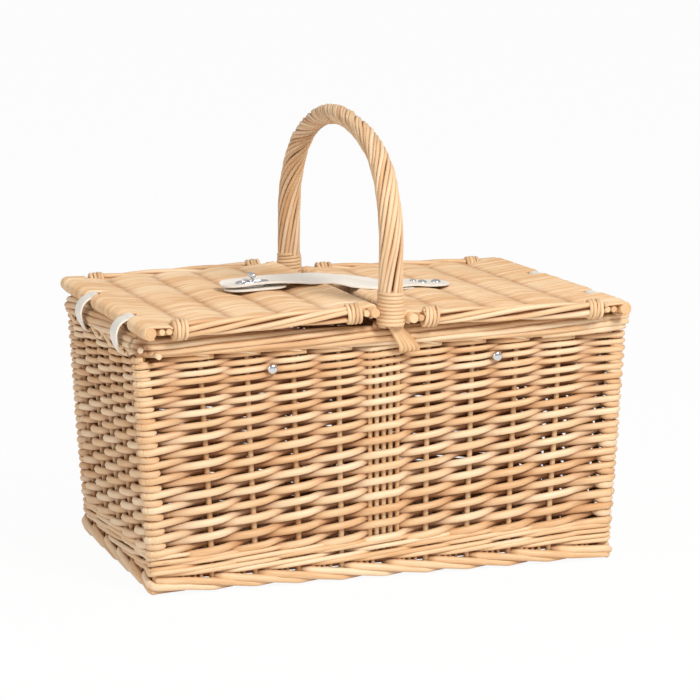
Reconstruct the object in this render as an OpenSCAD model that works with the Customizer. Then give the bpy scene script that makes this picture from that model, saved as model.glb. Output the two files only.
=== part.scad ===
// Rectangular willow picnic basket with two hinged lids, a fixed bow handle
// and a soft closing strap. Millimetres, +Z up, front towards -Y.
// The origin is on the floor under the middle of the basket.

/* [Basket] */
// Length over the woven walls at the top
top_length = 462; // [430:1:500]
// How far each end leans out from bottom to top
flare = 12; // [8:1:16]
// Depth over the woven walls
depth = 280; // [250:1:310]
// Thickness of the woven walls
wall_t = 14; // [12:0.5:16]
// Height of the woven walls between the wale and the rim
wall_h = 178; // [140:1:220]
// Courses of weavers in a wall
courses = 16; // [10:1:22]

/* [Borders] */
// Height of the foot border
foot_h = 14; // [10:1:18]
// Gap between the foot border and the wale, where the stakes show
foot_gap = 4; // [2:0.5:8]
// How far the foot border stands out from the wall
foot_out = 1; // [0:0.5:3]
// Height of the bottom wale
wale_h = 16; // [10:1:24]
// Height of the rim border
rim_h = 19; // [14:1:24]
// Width of the rim border
rim_w = 19; // [17:0.5:24]
// How far the rim stands out at the front and back
rim_out_y = 8; // [4:0.5:9]
// How far the rim stands out at the ends
rim_out_x = 1.5; // [0:0.5:4]

/* [Stakes] */
// Diameter of a side stake
stake_d = 4.8; // [3.5:0.1:6]
// Diameter of a corner stick
corner_stick_d = 8; // [6:0.5:10]
// Diameter of a wrapped corner
corner_d = 18; // [15:0.5:20]
// Height of one wrap on a corner
wrap_h = 6.4; // [5:0.1:9]

/* [Base] */
// Thickness of the woven base
base_t = 10; // [8:0.5:12]
// Height of the base's underside above the floor
base_z = 8; // [4:0.5:8]
// Diameter of a base stick
base_stick_d = 6; // [4:0.5:6]
// Number of base sticks
base_sticks_n = 7; // [5:1:9]
// Height of one weaver row on the base
base_row = 8; // [7:0.5:9]

/* [Lids] */
// Distance from the end wall's outer face in to a hinge stick
hinge_inset = 9; // [8:0.5:11]
// Diameter of the wrapped roll on a hinge stick
roll_d = 14.4; // [12.5:0.1:16]
// Diameter of the thick lid sticks
lid_stick_d = 8.6; // [7:0.1:9]
// Diameter of the thin lid sticks
lid_rib_d = 6; // [5:0.1:6.4]
// Clearance between a lid and the handle
lid_clear = 1.7; // [1:0.1:3]
// Diameter of the wrapped inner edge
lid_edge_d = 9.8; // [9.4:0.1:10.4]
// Thickness of the lid weave over a rib
lid_t = 10.8; // [9:0.1:12]
// Thickness of the lid weave between two ribs
lid_valley_t = 5.6; // [4:0.1:7]
// How far the lid weave reaches past the front and back walls
lid_over = 10.5; // [9:0.5:12]
// How far the lid sticks stand out of the weave
stick_out = 13; // [12:0.5:16]
// Tilt of the left lid at rest, its inner edge standing up
left_tilt = 2.2; // [0:0.1:3]
// Tilt of the right lid at rest
right_tilt = 0.4; // [0:0.1:1]

/* [Lid edges] */
// Width of the twisted rods along a lid edge
siding_w = 10; // [8:0.5:12]
// Height of the twisted rods along a lid edge
siding_h = 16.5; // [12:0.5:18]
// Thickness of the cane in a lid binding
cane_t = 1.6; // [1:0.1:2]
// Length of a lid binding along the edge
lid_binding_l = 13.4; // [10:0.1:14]
// Turns of cane in a lid binding
lid_binding_turns = 4; // [3:1:5]

/* [Handle] */
// How far the handle legs stand out from the front and back walls
handle_out = 10.5; // [9:0.5:12]
// Height of the handle's top above the rim
handle_h = 187; // [160:1:205]
// Height of a straight handle leg above its binding
leg_h = 30.4; // [24:0.2:36]
// Radius of the handle's shoulders
shoulder_r = 105; // [95:1:115]
// Diameter of the handle over its twisted rods at the legs
leg_d = 22; // [20:0.5:23]
// Diameter of the handle over its twisted rods at the top
grip_d = 18.4; // [16:0.1:20]
// Diameter of the handle's core rod
core_d = 12; // [10:0.5:13]
// Diameter of the cane binding at the foot of the handle
binding_d = 24; // [23.4:0.1:24.4]
// Height of the cane binding
binding_h = 30; // [22:1:36]
// Turns of cane in the binding
binding_turns = 8; // [5:1:10]
// Sideways lean of the bow
handle_lean = 1.6; // [0:0.1:2]
// Diameter of the rods that go down inside the wall
liner_d = 4.2; // [3:0.1:4.6]
// Spacing of those rods
liner_pitch = 6.5; // [5:0.1:7]
// Diameter of the fanned rods outside the rim
fan_d = 3.4; // [2.6:0.1:3.6]
// Rods in each group
handle_rods_n = 5; // [3:1:5]

/* [Hinge loops] */
// Width of a hinge loop
loop_w = 22; // [16:1:26]
// Thickness of the strap leather in a hinge loop
loop_t = 1.4; // [1:0.1:1.5]
// Width of a loop where it is drawn together to pass through the wall
neck_w = 8; // [6:0.5:9]
// Distance from a hinge loop's middle to the end stake beside it
loop_beside = 5; // [4:0.5:7]
// Distance from the rim down to where a loop enters the wall
loop_drop = 6; // [5:0.5:10]

/* [Strap] */
// Width of the closing strap
strap_w = 36; // [30:1:42]
// Thickness of the closing strap
strap_t = 1.8; // [1.2:0.1:2.2]
// How far the strap's tip reaches past the turn lock
strap_tip = 31.3; // [28:0.1:36]
// How far the strap's other end reaches past its last rivet
strap_tail = 13.1; // [12:0.1:18]
// Distance from the strap's fold line to its first rivet
fold_to_rivet = 12.9; // [9:0.1:16]
// Height of the strap over the hinge sticks where it crosses the left lid
strap_lift = 16.5; // [16:0.1:18]
// Distance of the turn lock from the third rib of the left lid
lock_from_rib = 6.2; // [5.5:0.1:12]
// Length of the eyelet's slot
slot_l = 26; // [22:1:28]
// Width of the eyelet's slot
slot_w = 8.6; // [7:0.1:10]
// Width of the eyelet's rim
eyelet_rim = 3.4; // [2.4:0.1:4]
// Length of the turn knob's bar
knob_l = 14; // [11:0.5:18]
// Width of the turn knob's bar
knob_w = 4.6; // [4:0.1:5.4]

/* [Rivets] */
// Diameter of a rivet head
rivet_d = 9.4; // [8:0.1:11]
// Diameter of a rivet shank
shank_d = 4; // [3:0.1:5]
// Distance from the rim down to the wall rivets
wall_rivet_drop = 14; // [10:1:24]
// Distance of the first strap rivet from the third rib of the right lid
strap_rivet_from_rib = 8.4; // [7:0.1:14]
// Distance between the two strap rivets
strap_rivet_gap = 14; // [12:0.5:16]

/* [Hidden] */

// Clearances
fit = 0.1;       // round a stick in its weave
seat = 0.3;      // under a piece that rests on another
FRONT = 0; RIGHT = 1; BACK = 2; LEFT = 3;

// Levels
wale_z = foot_h + foot_gap;
wall_z = wale_z + wale_h;
rim_z = wall_z + wall_h;
rim_top = rim_z + rim_h;
hinge_z = rim_top + roll_d / 2 + seat;

// Plan sizes
half_d = depth / 2;
half_top = top_length / 2;
half_bottom = half_top - flare;
end_tilt = atan(flare / wall_h);
mid_y = half_d - wall_t / 2;
corner_in = corner_d / 2;
course_p = wall_h / courses;
side_stakes = 4;    // on each side of the middle of the front and back
end_stakes = 2;     // on each side of the middle of an end
stake_pitch = (half_top - corner_d) / (side_stakes + 1);
end_stake_pitch = (half_d - corner_d) / (end_stakes + 0.5);
hinge_x = half_top - hinge_inset;
lid_gap = binding_d / 2 + lid_stick_d / 2 + lid_clear;
lid_reach = hinge_x - lid_gap;
lid_depth = depth + 2 * lid_over;
lid_stick_l = lid_depth + 2 * stick_out;

// Colours
willow = "burlywood";
willow_dark = "tan";
cane = "peru";
leather = "whitesmoke";
metal = "silver";
$fn = 48;

// Half-length of the basket at a height
function half_length(z) = half_bottom + flare * (z - wall_z) / wall_h;

// ---------- shared shapes ----------

// Section of a border: a flat core with rods stacked on both faces, X across, Y up
module strand_section(w, h, rods) {
    r = h / rods / 2;
    bulge = r * 0.9;
    translate([-w / 2 + bulge, 0]) square([w - 2 * bulge, h]);
    for (i = [0:rods - 1], s = [-1, 1])
        translate([s * (w / 2 - r), (i + 0.5) * h / rods]) circle(r = r);
}

// One side of a border ring with the corner at its right-hand end
module border_side(side, hx, hy, w, h, rods, z) {
    corner_r = w * 1.06;
    along = (side == FRONT || side == BACK) ? hx : hy;
    across = (side == FRONT || side == BACK) ? hy : hx;
    rotate([0, 0, 90 * side]) {
        translate([-along + corner_r, -across + w / 2, z]) rotate([90, 0, 90])
            linear_extrude(2 * (along - corner_r)) strand_section(w, h, rods);
        translate([along - corner_r, -across + corner_r, z]) rotate([0, 0, -90])
            rotate_extrude(angle = 90) translate([corner_r - w / 2, 0])
                strand_section(w, h, rods);
    }
}

// Section of a woven panel: courses stacked up from zero round a flat core,
// X across, Y up
module course_section(t, web, h, n) {
    p = h / n;
    r = min(p * 0.53, t * 0.45);
    translate([-web / 2, 0]) square([web, h]);
    intersection() {
        translate([-t, 0]) square([2 * t, h]);
        for (i = [0:n - 1]) translate([0, (i + 0.5) * p]) {
            for (s = [-1, 1]) translate([s * (t / 2 - r), 0]) circle(r = r);
            translate([-(t / 2 - r), -r]) square([t - 2 * r, 2 * r]);
        }
    }
}

// Keeps what lies between two heights
module between(z0, z1) {
    intersection() {
        children();
        translate([-top_length, -top_length, z0])
            cube([2 * top_length, 2 * top_length, z1 - z0]);
    }
}

// A round rod from one point to another
module rod(a, b, d) {
    v = b - a;
    translate(a) rotate([0, acos(v.z / norm(v)), atan2(v.y, v.x)])
        cylinder(h = norm(v), d = d);
}

// Places a left-end shape at the left (-1) or mirrors it to the right (1)
module at_end(side) {
    if (side < 0) children();
    else mirror([1, 0, 0]) children();
}

// ---------- stakes ----------

stake_foot = foot_h * 0.2;
stake_top = rim_top - rim_h * 0.2;

// A point on a front stake whose place at the top is x
function front_stake_at(x, z) = [x * half_length(z) / half_top, -mid_y, z];
function end_stake_at(y, z) = [-half_length(z) + wall_t / 2, y, z];
function corner_at(z) = [-half_length(z) + corner_in, -half_d + corner_in, z];

module front_stakes(d) {
    for (i = [1:side_stakes], s = [-1, 1])
        rod(front_stake_at(s * i * stake_pitch, stake_foot),
            front_stake_at(s * i * stake_pitch, stake_top), d);
}

module left_stakes(d) {
    for (i = [-end_stakes:end_stakes])
        rod(end_stake_at(i * end_stake_pitch, stake_foot),
            end_stake_at(i * end_stake_pitch, stake_top), d);
}

module stakes(side, d) {
    if (side == FRONT) front_stakes(d);
    if (side == BACK) rotate([0, 0, 180]) front_stakes(d);
    if (side == LEFT) left_stakes(d);
    if (side == RIGHT) rotate([0, 0, 180]) left_stakes(d);
}

module all_corner_sticks(d) {
    for (sx = [0, 1], sy = [0, 1])
        mirror([sx, 0, 0]) mirror([0, sy, 0])
            rod(corner_at(stake_foot), corner_at(stake_top), d);
}

// Everything that stands in the walls, one clearance larger
module wall_bores(side) {
    stakes(side, stake_d + 2 * fit);
    if (side == FRONT) liner_rods(liner_d + 2 * fit);
    if (side == BACK) rotate([0, 0, 180]) liner_rods(liner_d + 2 * fit);
}

module border_bores(side) {
    wall_bores(side);
    all_corner_sticks(corner_stick_d + 2 * fit);
}

// ---------- base, foot and wale ----------

base_half_x = half_bottom + foot_out - wall_t - seat;
base_half_y = half_d + foot_out - wall_t - seat;
base_stick_pitch = 2 * base_half_y / (base_sticks_n + 0.5);
web_over = 1;       // how much thicker a panel's flat core is than the sticks in it
base_cover = 2;     // weave past the ends of the base sticks

module base_stick_rods(d) {
    half_l = base_half_x - base_cover;
    for (i = [0:base_sticks_n - 1])
        translate([-half_l, (i - (base_sticks_n - 1) / 2) * base_stick_pitch,
                   base_z + base_t / 2])
            rotate([0, 90, 0]) cylinder(h = 2 * half_l, d = d);
}

module base_weave() {
    rows = round(2 * base_half_x / base_row);
    color(willow) difference() {
        translate([-base_half_x, base_half_y, base_z + base_t / 2]) rotate([90, 0, 0])
            linear_extrude(2 * base_half_y) rotate(-90)
                course_section(base_t, base_stick_d + web_over, 2 * base_half_x, rows);
        base_stick_rods(base_stick_d + 2 * fit);
    }
}

module base_sticks() {
    color(willow_dark) base_stick_rods(base_stick_d);
}

module foot(side) {
    color(willow) difference() {
        border_side(side, half_bottom + foot_out, half_d + foot_out, wall_t, foot_h, 2, 0);
        border_bores(side);
    }
}

module wale(side) {
    color(willow) difference() {
        border_side(side, half_bottom, half_d, wall_t, wale_h, 4, wale_z);
        border_bores(side);
    }
}

// ---------- walls ----------

wall_gap = 0.2;

module front_panel() {
    difference() {
        translate([-half_top, -mid_y, wall_z]) rotate([90, 0, 90])
            linear_extrude(2 * half_top)
                course_section(wall_t, stake_d + web_over, wall_h, courses);
        for (s = [0, 1]) mirror([s, 0, 0])
            translate([-half_bottom + corner_d + wall_gap, -depth, wall_z])
                rotate([0, -end_tilt, 0]) translate([-half_top, 0, -wall_h])
                    cube([half_top, depth, 3 * wall_h]);
    }
}

module left_panel() {
    panel_half = half_d - corner_d - wall_gap;
    difference() {
        between(wall_z, rim_z)
            translate([-half_bottom, panel_half, wall_z]) rotate([0, -end_tilt, 0])
                translate([wall_t / 2, 0, -course_p]) rotate([90, 0, 0])
                    linear_extrude(2 * panel_half)
                        course_section(wall_t, stake_d + web_over, wall_h + 2 * course_p,
                                       courses + 2);
        hinge_loop_slits();
    }
}

module wall(side) {
    color(willow) difference() {
        if (side == FRONT || side == BACK) rotate([0, 0, 90 * side]) front_panel();
        else at_end(side == LEFT ? -1 : 1) left_panel();
        wall_bores(side);
        if (side == FRONT) wall_rivet_holes();
    }
}

module wall_stakes(side) {
    color(willow_dark) stakes(side, stake_d);
}

module corner_sticks() {
    color(willow_dark) all_corner_sticks(corner_stick_d);
}

// Wraps of weaver round a corner stick
module corner_wraps() {
    wraps = round(wall_h / wrap_h);
    p = wall_h / wraps;
    r = p * 0.54;
    difference() {
        between(wall_z, rim_z)
            translate(corner_at(wall_z)) rotate([0, -end_tilt, 0])
                rotate_extrude() {
                    translate([0, -p]) square([corner_in - r, wall_h + 2 * p]);
                    for (i = [-1:wraps])
                        translate([corner_in - r, (i + 0.5) * p]) circle(r = r);
                }
        all_corner_sticks(corner_stick_d + 2 * fit);
    }
}

module corner(sx, sy) {
    color(willow) mirror([sx, 0, 0]) mirror([0, sy, 0]) corner_wraps();
}

// ---------- rim ----------

module rim(side) {
    color(willow) difference() {
        border_side(side, half_top + rim_out_x, half_d + rim_out_y, rim_w, rim_h, 4, rim_z);
        border_bores(side);
    }
}

// ---------- handle ----------

foot_of_handle = rim_top + 2 * seat;
binding_top = foot_of_handle + binding_h;
bend_z = binding_top + leg_h;
handle_top = rim_top + handle_h;
handle_y = half_d + handle_out;
roping_d = binding_d - 2 * cane_t - 2 * fit;

// The bow is a low arc between two shoulder arcs that it meets smoothly
bow_rise = handle_top - grip_d / 2 - bend_z;
shoulder_y = handle_y - shoulder_r;
arc_gap = bow_rise - shoulder_r;
arc_k = (shoulder_y * shoulder_y + arc_gap * arc_gap) / (2 * arc_gap);
bow_r = arc_k + shoulder_r;
shoulder_angle = acos(shoulder_y / arc_k);

// A round bar along the bow: feet inside the bindings, tapered legs, shoulders and top arc
module bow(foot, leg, top) {
    for (s = [0, 1]) mirror([0, s, 0]) {
        translate([0, -handle_y, foot_of_handle]) cylinder(h = binding_h, d = foot);
        translate([0, -handle_y, binding_top])
            cylinder(h = bend_z - binding_top, d1 = leg, d2 = top);
        translate([0, -shoulder_y, bend_z]) rotate([90, 0, -90])
            rotate_extrude(angle = shoulder_angle, $fn = 96)
                translate([shoulder_r, 0]) circle(d = top);
    }
    translate([0, 0, handle_top - grip_d / 2 - bow_r]) rotate([90, 0, 90])
        rotate([0, 0, shoulder_angle])
            rotate_extrude(angle = 180 - 2 * shoulder_angle, $fn = 96)
                translate([bow_r, 0]) circle(d = top);
}

// The handle leans a little to the left about its feet
module leaning() {
    translate([0, 0, foot_of_handle]) rotate([0, -handle_lean, 0])
        translate([0, 0, -foot_of_handle]) children();
}

module handle_core() {
    color(willow_dark) leaning() bow(core_d, core_d, core_d);
}

module handle_roping() {
    bore = core_d + 2 * fit;
    color(willow) leaning() difference() {
        bow(roping_d, leg_d, grip_d);
        bow(bore, bore, bore);
    }
}

module handle_binding() {
    p = binding_h / binding_turns;
    r = p / 2;
    color(cane) leaning() translate([0, -handle_y, foot_of_handle]) difference() {
        rotate_extrude() {
            square([binding_d / 2 - r / 2, binding_h]);
            for (i = [0:binding_turns - 1])
                translate([binding_d / 2 - r, (i + 0.5) * p]) circle(r = r);
        }
        translate([0, 0, -1]) cylinder(h = binding_h + 2, d = roping_d + 2 * fit);
    }
}

// Rods that go from the binding down inside the front wall: upright in the wall,
// leaning out to the handle inside the rim
liner_lean = 8;     // how far their tops stay inside the handle's middle
liner_foot = 2;     // their lower ends above the wale's underside
elbow = 2;          // height of the elbow above the wall

module liner_rods(d) {
    top_y = handle_y - liner_lean;
    between(wale_z + liner_foot, foot_of_handle - seat)
        for (i = [0:handle_rods_n - 1]) {
            x = (i - (handle_rods_n - 1) / 2) * liner_pitch;
            rod([x, -mid_y, wale_z], [x, -mid_y, rim_z + elbow], d);
            rod([x, -mid_y, rim_z + elbow / 2], [x, -top_y, foot_of_handle + elbow], d - seat);
        }
}

module handle_liner_rods() {
    color(willow_dark) for (a = [0, 180]) rotate([0, 0, a]) liner_rods(liner_d);
}

// Rods that fan out over the front of the rim, close together under the binding
fan_foot_x = 11;    // the first rod's place at its lower end
fan_top_x = -3;     // and at its upper end
fan_cut = binding_d / 2 * sin(handle_lean);

module fan_rods() {
    y = -half_d - rim_out_y - fan_d / 2 - seat;
    below = rim_z - rim_h / 3;
    above = foot_of_handle + rim_h / 3;
    between(rim_z - liner_foot, foot_of_handle - fan_cut - fit)
        for (i = [0:handle_rods_n - 1])
            rod([fan_foot_x + i * (fan_d + 2 * seat), y, below],
                [fan_top_x + i * (fan_d + 2 * seat) / 2, y, above], fan_d);
}

module handle_fan_rods() {
    color(willow) for (a = [0, 180]) rotate([0, 0, a]) fan_rods();
}

// ---------- hinge loops ----------

loop_clear = 0.5;   // between a loop and what it goes round
loop_in = lid_stick_d / 2 + loop_clear - fit + loop_t / 2;
loop_z = rim_z - loop_drop;
rim_gap = hinge_z - rim_top + loop_clear;

// Middle line of a loop, seen from the front at the left end, clockwise
function loop_path() =
    let (out_x = half_top + rim_out_x + loop_clear + loop_t / 2,
         in_x = half_top + rim_out_x - rim_w - loop_clear - loop_t / 2)
    concat(
        [for (a = [180:-30:0]) [-hinge_x, hinge_z] + loop_in * [cos(a), sin(a)]],
        [[-hinge_x + loop_in, hinge_z - lid_stick_d * 0.4], [-in_x, hinge_z - rim_gap],
         [-in_x, loop_z], [-half_length(loop_z) - loop_t, loop_z], [-out_x, rim_z],
         [-out_x, hinge_z - rim_gap], [-hinge_x - loop_in, hinge_z - lid_stick_d / 4]]);

// The same closed path moved sideways by d, with sharp corners
function shifted(path, d) = let (n = len(path)) [
    for (i = [0:n - 1])
        let (a = path[(i + n - 1) % n], b = path[i], c = path[(i + 1) % n],
             u = (b - a) / norm(b - a), v = (c - b) / norm(c - b),
             mu = [-u.y, u.x], mv = [-v.y, v.x], m = mu + mv)
        b + d * m * 2 / (m * m)];

// Each end has a loop near its front and one behind its middle, each beside a stake:
// the stake's place and the side of it that the loop is on
loops_at = [[-end_stakes * end_stake_pitch, 1], [end_stake_pitch, -1]];
function loop_y(l) = l[0] + l[1] * loop_beside;
function neck_y(l) = l[0] + l[1] * (stake_d / 2 + 3 * loop_clear + neck_w / 2);

module loop_strip(l) {
    y = loop_y(l);
    neck = neck_y(l);
    top = hinge_z + 2 * loop_in;
    wide = rim_z + loop_drop;
    low = loop_z - loop_drop;
    intersection() {
        translate([0, y + loop_w / 2, 0]) rotate([90, 0, 0]) linear_extrude(loop_w)
            difference() {
                polygon(shifted(loop_path(), loop_t / 2));
                polygon(shifted(loop_path(), -loop_t / 2));
            }
        translate([-top_length, 0, 0]) rotate([90, 0, 90]) linear_extrude(top_length)
            polygon([[y - loop_w / 2 - 1, top], [y - loop_w / 2 - 1, wide],
                     [neck - neck_w / 2, rim_z - 1], [neck - neck_w / 2, low],
                     [neck + neck_w / 2, low], [neck + neck_w / 2, rim_z - 1],
                     [y + loop_w / 2 + 1, wide], [y + loop_w / 2 + 1, top]]);
    }
}

module hinge_loop_slits() {
    for (l = loops_at)
        translate([-half_top - wall_t, neck_y(l) - neck_w / 2 - loop_clear,
                   loop_z - loop_t / 2 - loop_clear])
            cube([3 * wall_t, neck_w + 2 * loop_clear, loop_t + 2 * loop_clear]);
}

module hinge_loops(side) {
    color(leather) at_end(side) for (l = loops_at) loop_strip(l);
}

// ---------- wall rivets ----------

wall_rivet_z = rim_z - wall_rivet_drop;
wall_rivet_x = 2.5 * stake_pitch;

module rivet_head(d) {
    cap = d * 0.3;
    ball_r = (d * d / 4 + cap * cap) / (2 * cap);
    intersection() {
        translate([0, 0, cap - ball_r]) sphere(r = ball_r);
        cylinder(h = 2 * cap, d = 2 * d);
    }
}

module wall_rivet_holes() {
    for (s = [-1, 1]) translate([s * wall_rivet_x, -half_d - 1, wall_rivet_z])
        rotate([-90, 0, 0]) cylinder(h = wall_t + 2, d = shank_d + 2 * fit);
}

washer_t = 1.2;

module wall_rivets() {
    color(metal) for (s = [-1, 1])
        translate([s * wall_rivet_x, -half_d - fit, wall_rivet_z]) {
            rotate([90, 0, 0]) rivet_head(rivet_d);
            rotate([-90, 0, 0]) cylinder(h = wall_t + 2 * washer_t, d = shank_d);
        }
}

module rivet_washers() {
    color(metal) for (s = [-1, 1])
        translate([s * wall_rivet_x, -half_d + wall_t + fit, wall_rivet_z])
            rotate([-90, 0, 0]) difference() {
                cylinder(h = washer_t, d = rivet_d + 1);
                translate([0, 0, -1]) cylinder(h = washer_t + 2, d = shank_d + 2 * fit);
            }
}

// ---------- lids ----------

// Lid frame: the hinge stick is at zero, +X runs to the inner edge
module lid_frame(side) {
    at_end(side) translate([-hinge_x, 0, hinge_z])
        rotate([0, side < 0 ? -left_tilt : -right_tilt, 0]) children();
}

ribs = 4;
last_band = 0.848;  // share of a full band that is left for the last one
first_band = 20.4;  // from the second thin stick to where the bands begin
small_1 = lid_stick_d / 2 + loop_t + 3 * loop_clear + lid_rib_d / 2;
small_2 = small_1 + lid_rib_d + 4 * fit;
small_in = lid_reach - lid_stick_d / 2 - lid_rib_d / 2 - seat;
band_0 = small_2 + first_band;
rib_pitch = (lid_reach - band_0) / (ribs - 1 + last_band);

function rib_x(i) = band_0 + (i + 0.5) * rib_pitch;

// Upper outline of the lid weave: the hinge roll, one rounded band over each rib
// and the wrapped inner edge, X along the lid, Y up
function lid_outline() =
    let (rise = (lid_t - lid_valley_t) / 2, last = ribs - 1)
    concat(
        [for (a = [180:-15:75]) roll_d / 2 * [cos(a), sin(a)]],
        [[small_2, lid_t / 2 + 0.6]],
        [for (i = [0:last], u = [-1:0.25:(i < last ? 0.75 : 0.25)])
            [rib_x(i) + u * rib_pitch / 2, lid_valley_t / 2 + rise * (1 - u * u)]],
        [for (a = [120:-15:0]) [lid_reach, 0] + lid_edge_d / 2 * [cos(a), sin(a)]]);

module lid_section() {
    top = lid_outline();
    polygon(concat(top, [for (i = [len(top) - 2:-1:1]) [top[i].x, -top[i].y]]));
}

// Thin sticks of a lid, listed by their distance from the hinge stick
function thin_sticks() = concat([small_1, small_2], [for (i = [0:ribs - 1]) rib_x(i)],
                                [small_in]);
function is_long(x) = x < band_0 || x > small_in - 1;

module lid_stick(x, d, l) {
    translate([x, l / 2, 0]) rotate([90, 0, 0]) cylinder(h = l, d = d);
}

binding_room = lid_rib_d / 2 + 3 * seat + lid_binding_l / 2;
binding_at = [small_2 + binding_room, small_in - binding_room];
siding_y = lid_depth / 2 + loop_clear + siding_w / 2;

// Places a shape drawn at the front edge at each of the four bindings
module at_bindings() {
    for (x = binding_at, s = [0, 1]) mirror([0, s, 0]) translate([x, -siding_y, 0]) children();
}

module lid_weave() {
    pocket = cane_t + 0.8;
    difference() {
        translate([0, lid_depth / 2, 0]) rotate([90, 0, 0])
            linear_extrude(lid_depth) lid_section();
        for (x = [0, lid_reach]) lid_stick(x, lid_stick_d + 2 * fit, lid_stick_l);
        for (x = thin_sticks())
            lid_stick(x, lid_rib_d + 2 * fit, is_long(x) ? lid_stick_l : lid_depth - 8);
        for (l = loops_at)
            translate([-roll_d, loop_y(l) - loop_w / 2 - 1, -roll_d])
                cube([roll_d + small_1, loop_w + 2, 2 * roll_d]);
        at_bindings() translate([-lid_binding_l / 2 - 0.4, 0, -lid_t])
            cube([lid_binding_l + 0.8, siding_w / 2 + pocket, 2 * lid_t]);
    }
}

module lid_siding() {
    x0 = small_2 + lid_rib_d / 2 + 0.4;
    x1 = small_in - lid_rib_d / 2 - 0.4;
    for (s = [-1, 1]) translate([x0, s * siding_y, -siding_h / 2]) rotate([90, 0, 90])
        linear_extrude(x1 - x0) strand_section(siding_w, siding_h, 3);
}

// Cane wrapped round the siding: a thin sleeve with one raised band for each turn
module lid_bindings() {
    in_w = siding_w + 2 * fit;
    in_h = siding_h + 2 * fit;
    turn = lid_binding_l / lid_binding_turns;
    at_bindings() difference() {
        union() {
            sleeve = cane_t / 2;
            translate([-lid_binding_l / 2, -in_w / 2 - sleeve, -in_h / 2 - sleeve])
                cube([lid_binding_l, in_w + 2 * sleeve, in_h + 2 * sleeve]);
            for (i = [0:lid_binding_turns - 1])
                translate([-lid_binding_l / 2 + (i + 0.12) * turn, -in_w / 2 - cane_t,
                           -in_h / 2 - cane_t])
                    cube([turn * 0.76, in_w + 2 * cane_t, in_h + 2 * cane_t]);
        }
        translate([-lid_binding_l, -in_w / 2, -in_h / 2])
            cube([2 * lid_binding_l, in_w, in_h]);
    }
}

module lid_thin_sticks() {
    for (x = thin_sticks())
        lid_stick(x, lid_rib_d, is_long(x) ? lid_stick_l - 2 : lid_depth - 8.4);
}

module left_lid_weave() {
    color(willow) difference() {
        lid_frame(-1) lid_weave();
        lock_shank_hole();
    }
}
module left_lid_hinge_stick() {
    color(willow_dark) lid_frame(-1) lid_stick(0, lid_stick_d, lid_stick_l);
}
module left_lid_ribs() {
    color(willow_dark) lid_frame(-1) lid_thin_sticks();
}
module left_lid_edge_stick() {
    color(willow_dark) lid_frame(-1) lid_stick(lid_reach, lid_stick_d, lid_stick_l);
}
module left_lid_siding() {
    color(willow) lid_frame(-1) lid_siding();
}
module left_lid_bindings() {
    color(cane) lid_frame(-1) lid_bindings();
}
module right_lid_weave() {
    color(willow) difference() {
        lid_frame(1) lid_weave();
        strap_rivet_shanks(shank_d + 2 * fit);
    }
}
module right_lid_hinge_stick() {
    color(willow_dark) lid_frame(1) lid_stick(0, lid_stick_d, lid_stick_l);
}
module right_lid_ribs() {
    color(willow_dark) lid_frame(1) lid_thin_sticks();
}
module right_lid_edge_stick() {
    color(willow_dark) lid_frame(1) lid_stick(lid_reach, lid_stick_d, lid_stick_l);
}
module right_lid_siding() {
    color(willow) lid_frame(1) lid_siding();
}
module right_lid_bindings() {
    color(cane) lid_frame(1) lid_bindings();
}

// ---------- turn lock on the left lid ----------

patch_t = 1.6;
patch_l = 60;
plate_t = 1.4;
plate_w = slot_w + 2 * eyelet_rim - 1;
plate_l = slot_l;
lock_shank_d = 4.4;
lid_top = lid_t / 2 + seat;
lock_x = rib_x(2) - hinge_x - lock_from_rib;

// Frame on top of the left lid at the turn lock, +Z along the knob's axis
module lock_frame() {
    lid_frame(-1) translate([hinge_x + lock_x, 0, lid_top]) children();
}

// A slab with round ends, long side along X
module oval(l, w, h) {
    linear_extrude(h) {
        square([l - w, w], center = true);
        for (s = [-1, 1]) translate([s * (l - w) / 2, 0]) circle(d = w);
    }
}

module lock_shank_hole() {
    lock_frame() translate([0, 0, -2 * lid_t])
        cylinder(h = 4 * lid_t, d = lock_shank_d + 2 * seat);
}

module lock_patch() {
    color(leather) difference() {
        lock_frame() oval(patch_l, strap_w - 2, patch_t);
        lock_shank_hole();
    }
}

module lock_plate() {
    color(metal) difference() {
        lock_frame() translate([0, 0, patch_t + fit]) oval(plate_l, plate_w, plate_t);
        lock_shank_hole();
    }
}

strap_z = hinge_z + strap_lift;
knob_over = 1.6;    // the knob's bar above the strap
knob_z = strap_z + strap_t + knob_over;

module turn_knob() {
    bar_h = knob_w + 4 * fit;
    lift = knob_z - hinge_z - (hinge_x + lock_x) * sin(left_tilt) - lid_top;
    color(metal) lock_frame() {
        translate([0, 0, -lid_t / 2]) cylinder(h = lift + lid_t / 2 + 1, d = lock_shank_d);
        translate([0, 0, patch_t + plate_t + 2 * fit]) cylinder(h = 1, d = lock_shank_d + 1.6);
        translate([0, 0, lift]) rotate([0, 0, 90]) oval(knob_l, knob_w, bar_h);
    }
}

// ---------- strap ----------

under_t = 1.5;
strap_rivet_x = hinge_x - rib_x(2) + strap_rivet_from_rib;
fold_x = strap_rivet_x - fold_to_rivet;
strap_end_x = strap_rivet_x + strap_rivet_gap + strap_tail;
strap_tip_x = lock_x - strap_tip;
right_top = hinge_z + (hinge_x - fold_x) * sin(right_tilt) + lid_top;
fold_z = right_top + under_t + seat;
slope_0 = 2;        // where the strap starts down from the left lid's height
slope_1 = fold_x / 2;
under_x = 16;       // left end of the strap underneath

// Side view of the free part of the strap, from the tip to the fold line
module strap_profile() {
    x_end = fold_x - seat;
    polygon([[strap_tip_x, strap_z], [slope_0, strap_z], [slope_1, fold_z], [x_end, fold_z],
             [x_end, fold_z + strap_t], [slope_1 + 1, fold_z + strap_t],
             [slope_0 + 1, strap_z + strap_t], [strap_tip_x, strap_z + strap_t]]);
}

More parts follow.
